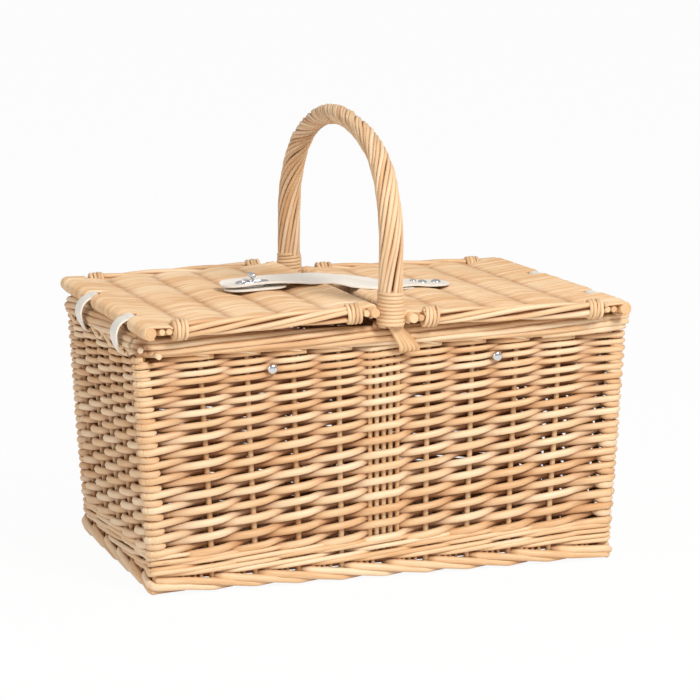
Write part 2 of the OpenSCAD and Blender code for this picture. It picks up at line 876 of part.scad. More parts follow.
module closure_strap() {
    eye_l = slot_l + 2 * eyelet_rim - 3;
    eye_w = slot_w + 2 * eyelet_rim - 3;
    r = strap_w / 2;
    color(leather) difference() {
        intersection() {
            translate([0, r, 0]) rotate([90, 0, 0]) linear_extrude(strap_w) strap_profile();
            translate([strap_tip_x, 0, 0]) linear_extrude(2 * strap_z) {
                translate([r, 0]) circle(r = r);
                translate([r, -r]) square([fold_x - strap_tip_x, strap_w]);
            }
        }
        translate([lock_x, 0, strap_z - 1]) oval(eye_l, eye_w, strap_t + 2);
    }
}

module strap_eyelet() {
    flange = 0.7;
    outer_l = slot_l + 2 * eyelet_rim;
    outer_w = slot_w + 2 * eyelet_rim;
    color(metal) translate([lock_x, 0, strap_z]) difference() {
        union() {
            translate([0, 0, strap_t + fit / 2]) oval(outer_l, outer_w, flange);
            translate([0, 0, -fit]) oval(outer_l - 3 - 2 * fit, outer_w - 3 - 2 * fit, strap_t + flange);
        }
        translate([0, 0, -1]) oval(slot_l, slot_w, strap_t + 4);
    }
}

anchor_z = right_top;

module strap_rivet_shanks(d) {
    for (i = [0, 1]) translate([strap_rivet_x + i * strap_rivet_gap, 0, hinge_z - lid_t])
        cylinder(h = anchor_z + strap_t - hinge_z + lid_t + fit, d = d);
}

module strap_anchor() {
    r = strap_w / 2;
    color(leather) translate([0, 0, anchor_z]) difference() {
        linear_extrude(strap_t) {
            translate([fold_x, -r]) square([strap_end_x - fold_x - r, strap_w]);
            translate([strap_end_x - r, 0]) circle(r = r);
        }
        translate([0, 0, -anchor_z]) strap_rivet_shanks(shank_d + 2 * fit);
    }
}

module under_strap() {
    r = (strap_w - 3) / 2;
    color(leather) translate([under_x, 0, right_top]) linear_extrude(under_t) {
        translate([r, 0]) circle(r = r);
        translate([r, -r]) square([fold_x - seat - under_x - r, 2 * r]);
    }
}

module strap_rivets() {
    color(metal) {
        strap_rivet_shanks(shank_d);
        for (i = [0, 1])
            translate([strap_rivet_x + i * strap_rivet_gap, 0, anchor_z + strap_t + fit])
                rivet_head(rivet_d);
    }
}

base_weave();
base_sticks();
foot(FRONT);  // foot_front
foot(RIGHT);  // foot_right
foot(BACK);  // foot_back
foot(LEFT);  // foot_left
wale(FRONT);  // wale_front
wale(RIGHT);  // wale_right
wale(BACK);  // wale_back
wale(LEFT);  // wale_left
wall(FRONT);  // wall_front
wall(RIGHT);  // wall_right
wall(BACK);  // wall_back
wall(LEFT);  // wall_left
wall_stakes(FRONT);  // stakes_front
wall_stakes(RIGHT);  // stakes_right
wall_stakes(BACK);  // stakes_back
wall_stakes(LEFT);  // stakes_left
corner_sticks();
corner(0, 0);  // corner_front_left
corner(1, 0);  // corner_front_right
corner(1, 1);  // corner_back_right
corner(0, 1);  // corner_back_left
rim(FRONT);  // rim_front
rim(RIGHT);  // rim_right
rim(BACK);  // rim_back
rim(LEFT);  // rim_left
handle_core();
handle_roping();
handle_binding();  // handle_binding_front
mirror([0, 1, 0]) handle_binding();  // handle_binding_back
handle_liner_rods();
handle_fan_rods();
hinge_loops(-1);  // hinge_loops_left
hinge_loops(1);  // hinge_loops_right
wall_rivets();
rivet_washers();
left_lid_weave();
left_lid_hinge_stick();
left_lid_ribs();
left_lid_edge_stick();
left_lid_siding();
left_lid_bindings();
lock_patch();
lock_plate();
right_lid_weave();
right_lid_hinge_stick();
right_lid_ribs();
right_lid_edge_stick();
right_lid_siding();
right_lid_bindings();
under_strap();
strap_anchor();
strap_rivets();
closure_strap();
strap_eyelet();
turn_knob();
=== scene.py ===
import math

import bpy
import numpy as np
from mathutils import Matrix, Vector


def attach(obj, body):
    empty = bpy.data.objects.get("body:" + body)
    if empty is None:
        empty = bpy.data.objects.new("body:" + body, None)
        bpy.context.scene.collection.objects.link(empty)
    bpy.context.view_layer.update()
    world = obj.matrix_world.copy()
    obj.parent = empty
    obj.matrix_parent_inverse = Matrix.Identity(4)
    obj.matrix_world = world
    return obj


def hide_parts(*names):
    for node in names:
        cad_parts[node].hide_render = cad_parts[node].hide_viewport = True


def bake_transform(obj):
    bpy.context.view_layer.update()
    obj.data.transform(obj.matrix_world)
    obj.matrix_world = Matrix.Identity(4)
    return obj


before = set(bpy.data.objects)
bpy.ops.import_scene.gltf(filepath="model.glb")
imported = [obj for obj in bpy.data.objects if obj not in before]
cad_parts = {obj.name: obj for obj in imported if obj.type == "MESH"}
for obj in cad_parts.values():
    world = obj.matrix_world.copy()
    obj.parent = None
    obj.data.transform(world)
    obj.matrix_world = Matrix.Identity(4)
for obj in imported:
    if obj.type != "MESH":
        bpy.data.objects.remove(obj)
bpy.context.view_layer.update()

bpy.ops.object.select_all(action="DESELECT")

# ---------- Base ----------
# The floor of the basket: willow rods woven to and fro over seven sticks that lie
# lengthwise. It is made first, and every wall grows from it.

MM = 0.001
chance = np.random.default_rng(7)


class Wire:
    """A shader socket that can be added, multiplied and so on with numbers and others."""

    def __init__(self, tree, socket=None):
        self.tree, self.socket = tree, socket

    def node(self, kind, settings=(), inputs=(), out=0):
        """Adds a node of that type; stops are the colours of a ramp by place."""
        made = self.tree.nodes.new("ShaderNode" + kind)
        for key, value in dict(settings).items():
            if key == "stops":
                ramp = made.color_ramp
                while len(ramp.elements) < len(value):
                    ramp.elements.new(0.5)
                for stop, (place, colour) in zip(ramp.elements, value):
                    stop.position, stop.color = place, (*colour, 1)
            else:
                setattr(made, key, value)
        for key, value in dict(inputs).items():
            if isinstance(value, Wire):
                self.tree.links.new(value.socket, made.inputs[key])
            else:
                made.inputs[key].default_value = value
        return Wire(self.tree, made.outputs[out] if made.outputs else None)

    def math(self, operation, a, b=0.0):
        return self.node("Math", {"operation": operation}, {0: a, 1: b})

    def __add__(self, other):
        return self.math("ADD", self, other)

    def __mul__(self, other):
        return self.math("MULTIPLY", self, other)

    def __sub__(self, other):
        return self.math("SUBTRACT", self, other)

    def __rsub__(self, other):
        return self.math("SUBTRACT", other, self)

    __radd__ = __add__
    __rmul__ = __mul__

    def clamp(self, low=0.0, high=1.0):
        return self.node("Clamp", (), {"Value": self, "Min": low, "Max": high})

    def mix(self, mode, factor, a, b):
        """Mixes two colours."""
        return self.node("Mix", {"data_type": "RGBA", "blend_type": mode},
                         {0: factor, 6: a, 7: b}, 2)


def new_finish(name):
    """An empty node material and the wire that builds in it."""
    finish = bpy.data.materials.new(name)
    finish.use_nodes = True
    finish.node_tree.nodes.clear()
    return finish, Wire(finish.node_tree)


def shade(wire, colour, roughness, normal=None, **fixed):
    """Ends a finish in one shader; what is the same all over is set on its sockets."""
    inputs = {"Base Color": colour, "Roughness": roughness}
    if normal:
        inputs["Normal"] = normal
    inputs.update({key.replace("_", " "): value for key, value in fixed.items()})
    surface = wire.node("BsdfPrincipled", (), inputs)
    wire.node("OutputMaterial", (), {"Surface": surface})


def willow_finish(name, pale, mid, brown, rough=0.5, streak=1.0):
    """Peeled willow: each rod has its own tone, with long streaks and small buds. Where it dives into
    the weave it is darkened and browned as painted shade."""
    finish, wire = new_finish(name)
    along = wire.node("UVMap", {"uv_map": "rod"})
    split = wire.node("SeparateXYZ", (), {0: along})
    run, turn = split, Wire(wire.tree, split.socket.node.outputs[1])
    tint = wire.node("Attribute", {"attribute_name": "tint"}, (), 2)
    sunk = wire.node("Attribute", {"attribute_name": "sunk"}, (), 2)
    place = wire.node("CombineXYZ", (), {0: run * 22.0, 1: turn * 4.0, 2: tint * 61.0})
    streaks = wire.node("TexNoise", (), {"Vector": place, "Scale": 1.0, "Detail": 3.0,
                                         "Roughness": 0.6})
    fine_place = wire.node("CombineXYZ", (), {0: run * 60.0, 1: turn * 16.0, 2: tint * 23.0})
    fine = wire.node("TexNoise", (), {"Vector": fine_place, "Scale": 1.0, "Detail": 2.0})
    room = wire.node("TexCoord", (), (), 3)
    cloud = wire.node("TexNoise", (), {"Vector": room, "Scale": 14.0, "Detail": 2.0})
    bud_place = wire.node("CombineXYZ", (), {0: run * 16.0, 1: turn * 1.6, 2: tint * 17.0})
    bud_far = wire.node("TexVoronoi", (), {"Vector": bud_place, "Scale": 1.0})
    buds = 1.0 - ((bud_far - 0.03) * 22.0).clamp()
    tone = (tint * 0.62 + (streaks - 0.5) * 1.1 * streak + (fine - 0.5) * 0.5 * streak
            + (cloud - 0.5) * 0.5 + 0.12).clamp()
    colour = wire.node("ValToRGB", {"stops": [(0.0, pale), (0.5, mid), (1.0, brown)]},
                       {0: tone})
    # Painted shade: the colour is multiplied towards dark brown by each point's shade amount, deep in
    # the weave.
    deep = wire.mix("MULTIPLY", (sunk * 0.9).clamp(), colour, (0.40, 0.20, 0.10, 1))
    spotted = wire.mix("MIX", buds * 0.55, deep, (0.30, 0.13, 0.05, 1))
    bump = wire.node("Bump", (), {"Strength": 0.25, "Distance": 0.0006,
                                  "Height": fine + streaks * 1.2})
    shade(wire, spotted, (fine * 0.16 + rough - 0.08), bump, Specular_IOR_Level=0.4)
    return finish


willow = willow_finish("willow_rods", (0.88, 0.68, 0.46), (0.80, 0.54, 0.31),
                       (0.66, 0.36, 0.16))
stick_willow = willow_finish("willow_sticks", (0.86, 0.62, 0.38), (0.76, 0.49, 0.26),
                             (0.57, 0.31, 0.14))
cane = willow_finish("split_cane", (0.88, 0.64, 0.40), (0.76, 0.51, 0.29), (0.54, 0.31, 0.15),
                     0.42)


def new_piece(name, points, faces, finish):
    """An object of one finish, from points in mm and the faces between them."""
    mesh = bpy.data.meshes.new(name)
    mesh.from_pydata((np.asarray(points) * MM).tolist(), [], faces)
    mesh.materials.append(finish)
    mesh.update()
    piece = bpy.data.objects.new(name, mesh)
    bpy.context.collection.objects.link(piece)
    return piece


def lay_rods(name, rods, sides=8, sunk=None, finish=willow, upright=None):
    """One mesh of round rods. Each rod is (points in mm, radii, tint) and may go on with
    its half-height and half-width in shares of the radius, and then with True where its
    first and last points only give the directions of its ends."""
    verts, faces, uvs, tints, sharp = [], [], [], [], []
    start = 0
    angles = np.arange(sides) * 2 * math.pi / sides
    for points, radii, tint, *more in rods:
        (up, wide), led = more + [(1.0, 1.0), False][len(more):]
        points = np.asarray(points, float)
        n = len(points)
        radii = np.broadcast_to(np.asarray(radii, float), n)
        way = np.gradient(points, axis=0)
        way /= np.linalg.norm(way, axis=1)[:, None]
        if led:
            points, way, radii, n = points[1:-1], way[1:-1], radii[1:-1], n - 2
        axis = np.eye(3)[np.argmin(np.abs(way).max(axis=0))] if upright is None else upright
        normal = axis - way * (way @ axis)[:, None]
        normal /= np.linalg.norm(normal, axis=1)[:, None]
        side = np.cross(way, normal)
        ring = (normal[:, None] * (np.cos(angles) * up)[None, :, None]
                + side[:, None] * (np.sin(angles) * wide)[None, :, None])
        verts.append((points[:, None] + ring * radii[:, None, None]).reshape(-1, 3))
        run = np.concatenate([[0], np.cumsum(np.linalg.norm(np.diff(points, axis=0), axis=1))])
        run = run * MM + tint * 7.3
        i, j = np.meshgrid(np.arange(n - 1), np.arange(sides), indexing="ij")
        k = (j + 1) % sides
        quads = np.stack([i * sides + j, i * sides + k, (i + 1) * sides + k,
                          (i + 1) * sides + j], -1).reshape(-1, 4) + start
        faces.extend(quads.tolist())
        u = np.stack([run[i], run[i], run[i + 1], run[i + 1]], -1)
        v = np.stack([j, j + 1, j + 1, j], -1) / sides
        uvs.append(np.stack([u, v], -1).reshape(-1, 2))
        sharp.extend([False] * len(quads))
        disc = 0.5 + 0.5 * np.stack([np.cos(angles), np.sin(angles)], -1)
        faces.append([start + a for a in range(sides)][::-1])
        faces.append([start + (n - 1) * sides + a for a in range(sides)])
        uvs += [disc[::-1], disc]
        sharp += [True, True]
        tints.append(np.full(n * sides, tint))
        start += n * sides
    verts = np.concatenate(verts)
    piece = new_piece(name, verts, faces, finish)
    mesh = piece.data
    mesh.uv_layers.new(name="rod").data.foreach_set("uv", np.concatenate(uvs).ravel())
    mesh.attributes.new("tint", "FLOAT", "POINT").data.foreach_set("value", np.concatenate(tints))
    # Painted shade: the function given fourth says how darkly each point is shaded, and is kept as a
    # point attribute for the finish.
    deep = np.clip(sunk(verts), 0, 1) if sunk else np.zeros(len(verts))
    mesh.attributes.new("sunk", "FLOAT", "POINT").data.foreach_set("value", deep)
    mesh.polygons.foreach_set("use_smooth", ~np.array(sharp))
    mesh.update()
    return piece


def stand_for(piece, body, node):
    """Makes a piece move with a body and stand for a node of the solids."""
    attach(piece, body)
    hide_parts(node)


def smooth_path(points, steps=4):
    """A curve through the points, with that many steps from one to the next."""
    p = np.asarray(points, float)
    p = np.vstack([2 * p[0] - p[1], p, 2 * p[-1] - p[-2]])
    a, b, c, d = p[:-3], p[1:-2], p[2:-1], p[3:]
    t = (np.arange(steps) / steps)[None, :, None]
    a, b, c, d = (q[:, None] for q in (a, b, c, d))
    curve = 0.5 * (2 * b + (c - a) * t + (2 * a - 5 * b + 4 * c - d) * t ** 2
                   + (3 * b - a - 3 * c + d) * t ** 3)
    return np.vstack([curve.reshape(-1, p.shape[1]), p[-2]])


BASE_Z = 13.0
BASE_HALF_X, BASE_HALF_Y = 205.5, 126.0
base_stick_ys = (np.arange(7) - 3) * 33.5
sticks = [([[-BASE_HALF_X + 2, y, BASE_Z], [0, y, BASE_Z], [BASE_HALF_X - 2, y, BASE_Z]], 3.0,
           chance.random()) for y in base_stick_ys]
stand_for(lay_rods("base_stick_rods", sticks, 10, finish=stick_willow), "root",
          "base_sticks")
rows = []
for n, x in enumerate(np.arange(-BASE_HALF_X + 2.4, BASE_HALF_X - 2, 4.1)):
    bends = [[x, -BASE_HALF_Y + 1, BASE_Z]]
    for m, y in enumerate(base_stick_ys):
        bends += [[x, y, BASE_Z + (2.9 if (m + n) % 2 else -2.9)], [x, y + 16.75, BASE_Z]]
    bends[-1][1] = BASE_HALF_Y - 1
    rows.append((smooth_path(bends, 3), 2.0, chance.random(), (1.0, 1.35)))
# Painted shade: the base rods are darker near the middle plane of the base, where they pass between
# the sticks.
stand_for(lay_rods("base_weaving", rows, 6, lambda v: 0.8 - np.abs(v[:, 2] - BASE_Z) / 6,
                   upright=(0, 0, 1)), "root", "base_weave")

# ---------- Stakes and corner sticks ----------
# Upright willow sticks that the walls are woven on: nine along the front and back,
# counting the handle's group of five rods, and five along each end.

FLARE, WALL_FOOT, WALL_H = 12.0, 34.0, 178.0
MID_Y, WALL_MID = 133.0, 7.0
STAKE_PITCH, END_PITCH = 42.6, 48.8
CORNER_IN, CORNER_Y = 8.2, 132.0
RING = 32    # places round the basket, four of them corners
CORNERS_AT = (0, 10, 16, 26)
CORNER_STARTS = (180, 270, 0, 90)    # the way each corner's round begins, in degrees
HANDLE_AT = (5, 21)    # the places of the handle's groups of rods


def half_length(z):
    return 219.0 + FLARE * np.maximum(z - WALL_FOOT, 0) / WALL_H


def on_ring(at, z, out=0.0, slide=0.0):
    """A point at place at of the ring of stakes, counted round from the front-left
    corner, that far outside the middle of the wall. A fraction is between two stakes."""
    at = at % RING
    if at > 16:
        x, y, _ = on_ring(at - 16, z, out, slide)
        return [-x, -y, z]
    reach = half_length(z)
    if at <= 10:
        last = 4 * STAKE_PITCH * reach / 231
        x = np.interp(at, [0, 1, 9, 10], [CORNER_IN - reach, -last, last, reach - CORNER_IN])
        return [x + slide, -MID_Y - out, z]
    y = np.interp(at, [10, 11, 15, 16], [-CORNER_Y, -2 * END_PITCH, 2 * END_PITCH, CORNER_Y])
    return [reach - WALL_MID + out, y + slide, z]


def corner_centre(corner, z):
    sx, sy = ((-1, -1), (1, -1), (1, 1), (-1, 1))[corner]
    shift = (-1.0, 4.0, 2.6, 3.0)[corner]
    return np.array([sx * (half_length(z) - CORNER_IN) + shift, sy * CORNER_Y, z])


def out_of_wall(v):
    """How far outside the middle of the walls a point lies."""
    return np.maximum(np.abs(v[:, 1]) - MID_Y, np.abs(v[:, 0]) - half_length(v[:, 2]) + WALL_MID)


def in_wall(v):
    """How deep in the weave of the walls, seen from outside, a point lies: the painted shade it gets,
    most on rods behind the stakes and on the inside.
    """
    return 0.72 - out_of_wall(v) / 7.5


stakes_of = {"front": range(1, 10), "right": range(11, 16), "back": range(17, 26),
             "left": range(27, 32)}
for side, numbers in stakes_of.items():
    sticks = []
    for i in numbers:
        if i in HANDLE_AT:
            continue
        wander = chance.normal(0, 0.3, (6, 2))
        line = [on_ring(i, z, a, b) for z, (a, b) in zip(np.linspace(3, 226, 6), wander)]
        sticks.append((smooth_path(line, 2), np.linspace(2.65, 2.4, 11), chance.random()))
    # Painted shade: the stakes stand inside the weave and are darkened evenly all over.
    stand_for(lay_rods("stake_rods_" + side, sticks, 10, lambda v: 0.28 + 0 * v[:, 0],
                       stick_willow), "root", "stakes_" + side)

sticks = [([corner_centre(c, 3), corner_centre(c, 34), corner_centre(c, 227)], 4.0,
           chance.random()) for c in range(4)]
stand_for(lay_rods("corner_stick_rods", sticks, 12, finish=stick_willow), "root",
          "corner_sticks")

# ---------- Walls ----------
# Slanting randing: one weaver starts at each stake and climbs right round the basket,
# before one stake and behind the next, and turns round each corner stick.

OUT = 4.7
LOW_ROW, ROW_STEP = 37.4, 6.53
THICK_R, THIN_R = 3.45, 2.35


def row_z(m):
    """Height of a weaver after m stakes: the rows lie closer from the middle up."""
    return LOW_ROW + ROW_STEP * m - 0.087 * np.maximum(m - 12, 0) ** 2


def weaver_r(z):
    return np.interp(z, [30, 60, 130, 175, 212], [THICK_R, THICK_R, 3.2, 2.7, THIN_R])


def weaver(k):
    """The bends of the weaver that starts at stake k, and the ring place of each."""
    bends, at = [], []
    side = chance.normal(0, 0.22, 4 * RING + 8)
    level = chance.normal(0, 0.38, RING + 2)

    def lay(place, point):
        bends.append(np.array(point, float))
        at.append(k + place)
    for n in range(-3, 4 * RING + 2):
        s = n / 4
        m = round(s)
        i = (k + m) % RING
        wave = math.cos(math.pi * s)
        out = OUT * wave * (1.2 - 0.2 * wave * wave) + side[n + 4]
        z = row_z(s) - 0.03 * ROW_STEP * math.sin(2 * math.pi * s) + level[m]
        if i in CORNERS_AT and abs(s - m) < 0.3:
            if s != m:
                continue
            corner = CORNERS_AT.index(i)
            first = math.radians(CORNER_STARTS[corner])
            for turn in (0, 22.5, 45, 67.5, 90) if m % 2 == 0 else (45,):
                r = 6.5 if m % 2 == 0 else -7.0
                angle = first + math.radians(turn)
                lay(m + (turn / 45 - 1) * 0.1, corner_centre(corner, z)
                    + [r * math.cos(angle), r * math.sin(angle), (turn / 45 - 1) * 0.3])
        elif i in HANDLE_AT:
            if s == m:
                for slide in (-12, -4, 4, 12):
                    lay(m + slide / 43, on_ring(i, z + slide * 0.1,
                                                out + (0.3 if abs(slide) < 5 else 0.0), slide))
            elif abs(s - m) == 0.5:
                lay(s, on_ring(k + s, z, out))
        else:
            lay(s, on_ring(k + s, z, out))
    return np.array(bends), np.array(at)


SIDES_AT = {"front": (0, 10), "right": (10, 16), "back": (16, 26), "left": (26, 32)}


def split_sides(rods_of, path, at, radius, tint, tall=(1.0, 1.0)):
    """Cuts a rod that runs round the basket at the corners and adds it to its sides. A
    part with a neighbour at both ends takes its end directions from them."""
    for side, (first, last) in SIDES_AT.items():
        for lap in (-RING, 0, RING):
            on = np.flatnonzero((at > first + lap - 0.001) & (at < last + lap + 0.001))
            if len(on) > 2:
                low, high = max(on[0] - 1, 0), min(on[-1] + 1, len(at) - 1)
                led = bool(low < on[0] and high > on[-1])
                part = slice(low, high + 1)
                rods_of[side].append((path[part], radius[part], tint, tall, led))


wall_rods = {side: [] for side in SIDES_AT}
for k in range(RING):
    bends, at = weaver(k)
    path = smooth_path(np.column_stack([bends, at]), 2)
    radius = weaver_r(path[:, 2]) * chance.normal(1, 0.04)
    split_sides(wall_rods, path[:, :3], path[:, 3], radius, chance.random(), (1.05, 1.0))
for side, rods in wall_rods.items():
    # Painted shade on the walls' rods, by their depth in the weave.
    stand_for(lay_rods("wall_weaving_" + side, rods, 8, in_wall), "root",
              "wall_" + side)

# ---------- Corner wraps ----------
# Between the weavers that turn the corner, short rods are wrapped round each corner
# stick to fill the height.

corner_names = ("corner_front_left", "corner_front_right", "corner_back_right",
                "corner_back_left")
for c, node in enumerate(corner_names):
    wraps = []
    for m in range(1, RING, 2):
        z = row_z(m) + chance.normal(0, 0.25)
        thick = (row_z(m + 1) - row_z(m - 1)) / 2 - weaver_r(z) + 0.15
        lean = chance.normal(0, 0.3, 2)
        inner = math.radians(45 + 90 * c)
        around = inner + np.radians(np.arange(0, 361, 18))
        ring = [corner_centre(c, z) + [6.35 * math.cos(a), 6.35 * math.sin(a),
                                       lean[0] * math.cos(a) + lean[1] * math.sin(a)]
                for a in around]
        wraps.append((ring, thick, chance.random()))
    # Painted shade: the wraps are darkened a little, evenly all over.
    stand_for(lay_rods("wraps_" + node, wraps, 8, lambda v: 0.12 + 0 * v[:, 0]), "root",
              node)

# ---------- Bottom wale ----------
# Two bands of rods woven three at a time, each before two stakes and behind one, that
# lock the foot of the walls.


def round_ring(at, z, out):
    """A point on the ring with round corners, at a place counted in stakes."""
    at = at % RING
    for n, i in enumerate((*CORNERS_AT, RING)):
        if abs(at - i) < 0.3:
            angle = math.radians(CORNER_STARTS[n % 4] + 45 + (at - i) / 0.3 * 45)
            r = 1.8 + out if out > -1 else out
            return corner_centre(n % 4, z) + [r * math.cos(angle), r * math.sin(angle), 0]
    return np.array(on_ring(at, z, out))


wale_rods = {side: [] for side in SIDES_AT}
for band_z in (21.6, 31.2):
    for i in range(RING):
        lift = chance.normal(0, 0.55)
        bends = []
        for u in np.arange(0.0, 3.01, 0.25):
            rise = np.interp(u, [0, 0.4, 2.6, 3.0], [-4.4, -3.9, 4.1, 4.8])
            out = np.interp(u, [0, 0.22, 0.6, 1.5, 2.4, 2.78, 3.0],
                            [-5, -0.5, 4.4, 5.0, 4.4, -0.5, -5])
            bends.append([*round_ring(i + u, band_z + rise + lift, out), i + u])
        path = smooth_path(bends, 2)
        radius = 2.35 * chance.normal(1, 0.05) * np.linspace(1.05, 0.9, len(path))
        split_sides(wale_rods, path[:, :3], path[:, 3], radius, chance.random())
for side, rods in wale_rods.items():
    # Painted shade on the wale's rods, by their depth in the weave.
    stand_for(lay_rods("wale_rods_" + side, rods, 8, in_wall), "root",
              "wale_" + side)

# ---------- Foot border ----------
# Thick ends of rods laid down one over the next: each comes out from behind a stake
# and runs down to the ground under the one after it. Thin upright ends show between.

FOOT_R = 3.5
foot_rods = {side: [] for side in SIDES_AT}
for i in range(RING):
    sway = chance.normal(0, 0.3)
    bends = []
    for u in np.arange(0.0, 2.51, 0.25):
        z = np.interp(u, [0, 0.25, 1.0, 2.0, 2.5], [12.6, 12.4, 9.0, 3.7, 3.5])
        out = np.interp(u, [0, 0.2, 0.4, 1.3, 2.0, 2.5], [-3, 2.5, 5.2, 5.4, 4.0, -3])
        bends.append([*round_ring(i + u, max(z + sway, 3.4), out), i + u])
    path = smooth_path(bends, 2)
    radius = np.interp(np.linspace(0, 1, len(path)), [0, 0.1, 0.6, 1], [2.8, FOOT_R, 3.4, 2.6])
    split_sides(foot_rods, path[:, :3], path[:, 3], radius * chance.normal(1, 0.04),
                chance.random())
for side, numbers in stakes_of.items():
    for i in (*numbers, max(numbers) + 1):
        for slide in (-27, -21.5, -16, -10.5):
            slide += chance.normal(0, 0.5)
            line = [on_ring(i - 0.001, z, 1.5 + chance.normal(0, 0.3), slide)
                    for z in (5, 13, 21)]
            # Painted shade: the upright ends take the darker half of the tones.
            foot_rods[side].append((line, 1.75, 0.6 + 0.4 * chance.random()))
    first, last = SIDES_AT[side]
    # Painted shade: two rods of the darkest tone behind the foot stand where there is only shade in
    # its gaps.
    for z in (7.5, 15.5):
        line = [round_ring(at, z, -3.2) for at in np.linspace(first, last, 41)]
        foot_rods[side].append((line, 3.6, 1.0))


# Painted shade: the foot's rods are darker the deeper they lie, darkest inside.
def in_foot(v):
    return 0.95 - out_of_wall(v) / 6.0


for side, rods in foot_rods.items():
    stand_for(lay_rods("foot_rods_" + side, rods, 8, in_foot), "root",
              "foot_" + side)

# ---------- Rim border ----------
# The tops of the stakes are bent down and laid along the edge as long strands that
# rise slowly over each other. Their cut points show under the rim, three ends stick out
# at the front right and four cut stubs show at the front left.

RIM_HALF_X, RIM_HALF_Y, RIM_Z, RIM_ROUND = 224.0, 138.5, 222.3, 13.0
STRANDS, STRAND_R = 8, 2.95
corners = np.array([[-1, -1], [1, -1], [1, 1], [-1, 1]])
plan = []
for n, (sx, sy) in enumerate(corners):
    for a in np.radians(np.arange(0, 91, 15) + CORNER_STARTS[n]):
        plan.append([sx * (RIM_HALF_X - RIM_ROUND) + RIM_ROUND * math.cos(a),
                     sy * (RIM_HALF_Y - RIM_ROUND) + RIM_ROUND * math.sin(a),
                     math.cos(a), math.sin(a)])
    gap = 44 if n in (0, 2) else 26
    here = np.array(plan[-1])
    nx, ny = corners[(n + 1) % 4]
    a = math.radians(CORNER_STARTS[(n + 1) % 4])
    there = np.array([nx * (RIM_HALF_X - RIM_ROUND) + RIM_ROUND * math.cos(a),
                      ny * (RIM_HALF_Y - RIM_ROUND) + RIM_ROUND * math.sin(a), here[2], here[3]])
    for t in np.linspace(0, 1, gap)[1:-1]:
        plan.append(here + (there - here) * t)
plan = np.array(plan + [plan[0]])
rim_run = np.concatenate([[0], np.cumsum(np.linalg.norm(np.diff(plan[:, :2], axis=0), axis=1))])
ring_len = rim_run[-1]
edge_side = np.where(np.abs(plan[:, 3]) > 0.7072, np.where(plan[:, 3] < 0, 0, 2),
                     np.where(plan[:, 2] > 0, 1, 3))
edge_side[:4] = 3
rim_rods = {side: [] for side in SIDES_AT}
tints = chance.random(STRANDS)


def rim_parts(side):
    """The unbroken runs of places on the plan of the rim that belong to a side."""
    on = np.flatnonzero(edge_side == list(SIDES_AT).index(side))
    return np.split(on, np.flatnonzero(np.diff(on) > 1) + 1)


for strand in range(STRANDS):
    wobble = np.interp(rim_run, np.linspace(0, ring_len, 40),
                       np.append(chance.normal(0, 0.35, 39), 0))
    phase = 2 * math.pi * (strand / STRANDS + 2 * rim_run / ring_len) + wobble * 0.25
    size = 6.3 + wobble * 0.6
    path = np.column_stack([plan[:, 0] + plan[:, 2] * size * np.cos(phase),
                            plan[:, 1] + plan[:, 3] * size * np.cos(phase),
                            RIM_Z + size * np.sin(phase)])
    for side in SIDES_AT:
        for part in rim_parts(side):
            part = np.arange(part[0] - 1, part[-1] + 3) % (len(path) - 1)
            rim_rods[side].append((path[part], STRAND_R, tints[strand], (1.0, 1.0), True))
for side in SIDES_AT:
    for part in rim_parts(side):
        part = np.append(part, part[-1] + 1) if part[-1] + 1 < len(plan) else part
        if len(part) > 1:
            # Painted shade: a thick rod of the darkest tone fills the core of the rim and shows dark
            # in its gaps.
            core = np.column_stack([plan[part, :2], np.full(len(part), RIM_Z)])
            rim_rods[side].append((core, 5.2, 1.0))
    for i in stakes_of[side]:
        if i in HANDLE_AT:
            continue
        line = [round_ring(i + u, z, out) for u, z, out in
                ((-0.4, 218.0, 6.3), (-0.15, 215.6, 7.2), (0.05, 213.8, 7.6), (0.17, 212.7, 7.3))]
        rim_rods[side].append((smooth_path(line, 2), np.array([2.0, 2.0, 1.9, 1.8, 1.6, 1.1, 0.4]),
                               0.1 + 0.2 * chance.random()))
for out, z, reach in ((4.5, 228.0, 234.5), (7.3, 223.4, 233.0), (6.0, 218.6, 230.5)):
    line = [(x, -RIM_HALF_Y - out + bend, z + lift) for x, bend, lift in
            ((150, 4.0, -5.0), (190, 1.2, -2.2), (215, 0, 0), (reach, 0.6, 1.0))]
    radii = np.interp(np.linspace(0, 1, 10), [0, 0.3, 0.97, 1], [2.0, 3.0, 3.0, 2.2])
    rim_rods["front"].append((smooth_path(line, 3), radii, 0.3 * chance.random()))
for x, y, z, way in ((-227.5, -146.5, 221.5, (-1, -3)), (-212.2, -148.5, 215.6, (1, -3)),
                     (-233.5, -97.6, 217.2, (-3, 1)), (-233.0, -134.0, 218.3, (-3, 1))):
    line = [(x - 2 * way[0], y - 2 * way[1], z + 1.5), (x + 0.6 * way[0], y + 0.6 * way[1], z)]
    rim_rods["front"].append((line, 2.6, 0.1 * chance.random()))


# Painted shade: the rim's rods are darker the nearer they lie to its core, and more so on its inner
# side.
def in_rim(v):
    out = np.maximum(np.abs(v[:, 1]) - RIM_HALF_Y, np.abs(v[:, 0]) - RIM_HALF_X)
    inside = np.clip(-out / 6.0, 0, 1) * 0.5
    return 1.0 - (np.hypot(out, v[:, 2] - RIM_Z) - 5.0) / 3.5 + inside


for side, rods in rim_rods.items():
    stand_for(lay_rods("rim_rods_" + side, rods, 8, in_rim), "root",
              "rim_" + side)

# ---------- Liner and fan rods under the handle ----------
# Five rods stand in the middle of the front and back walls and lean out to the handle's
# feet; five more fan out from under each binding over the rim.

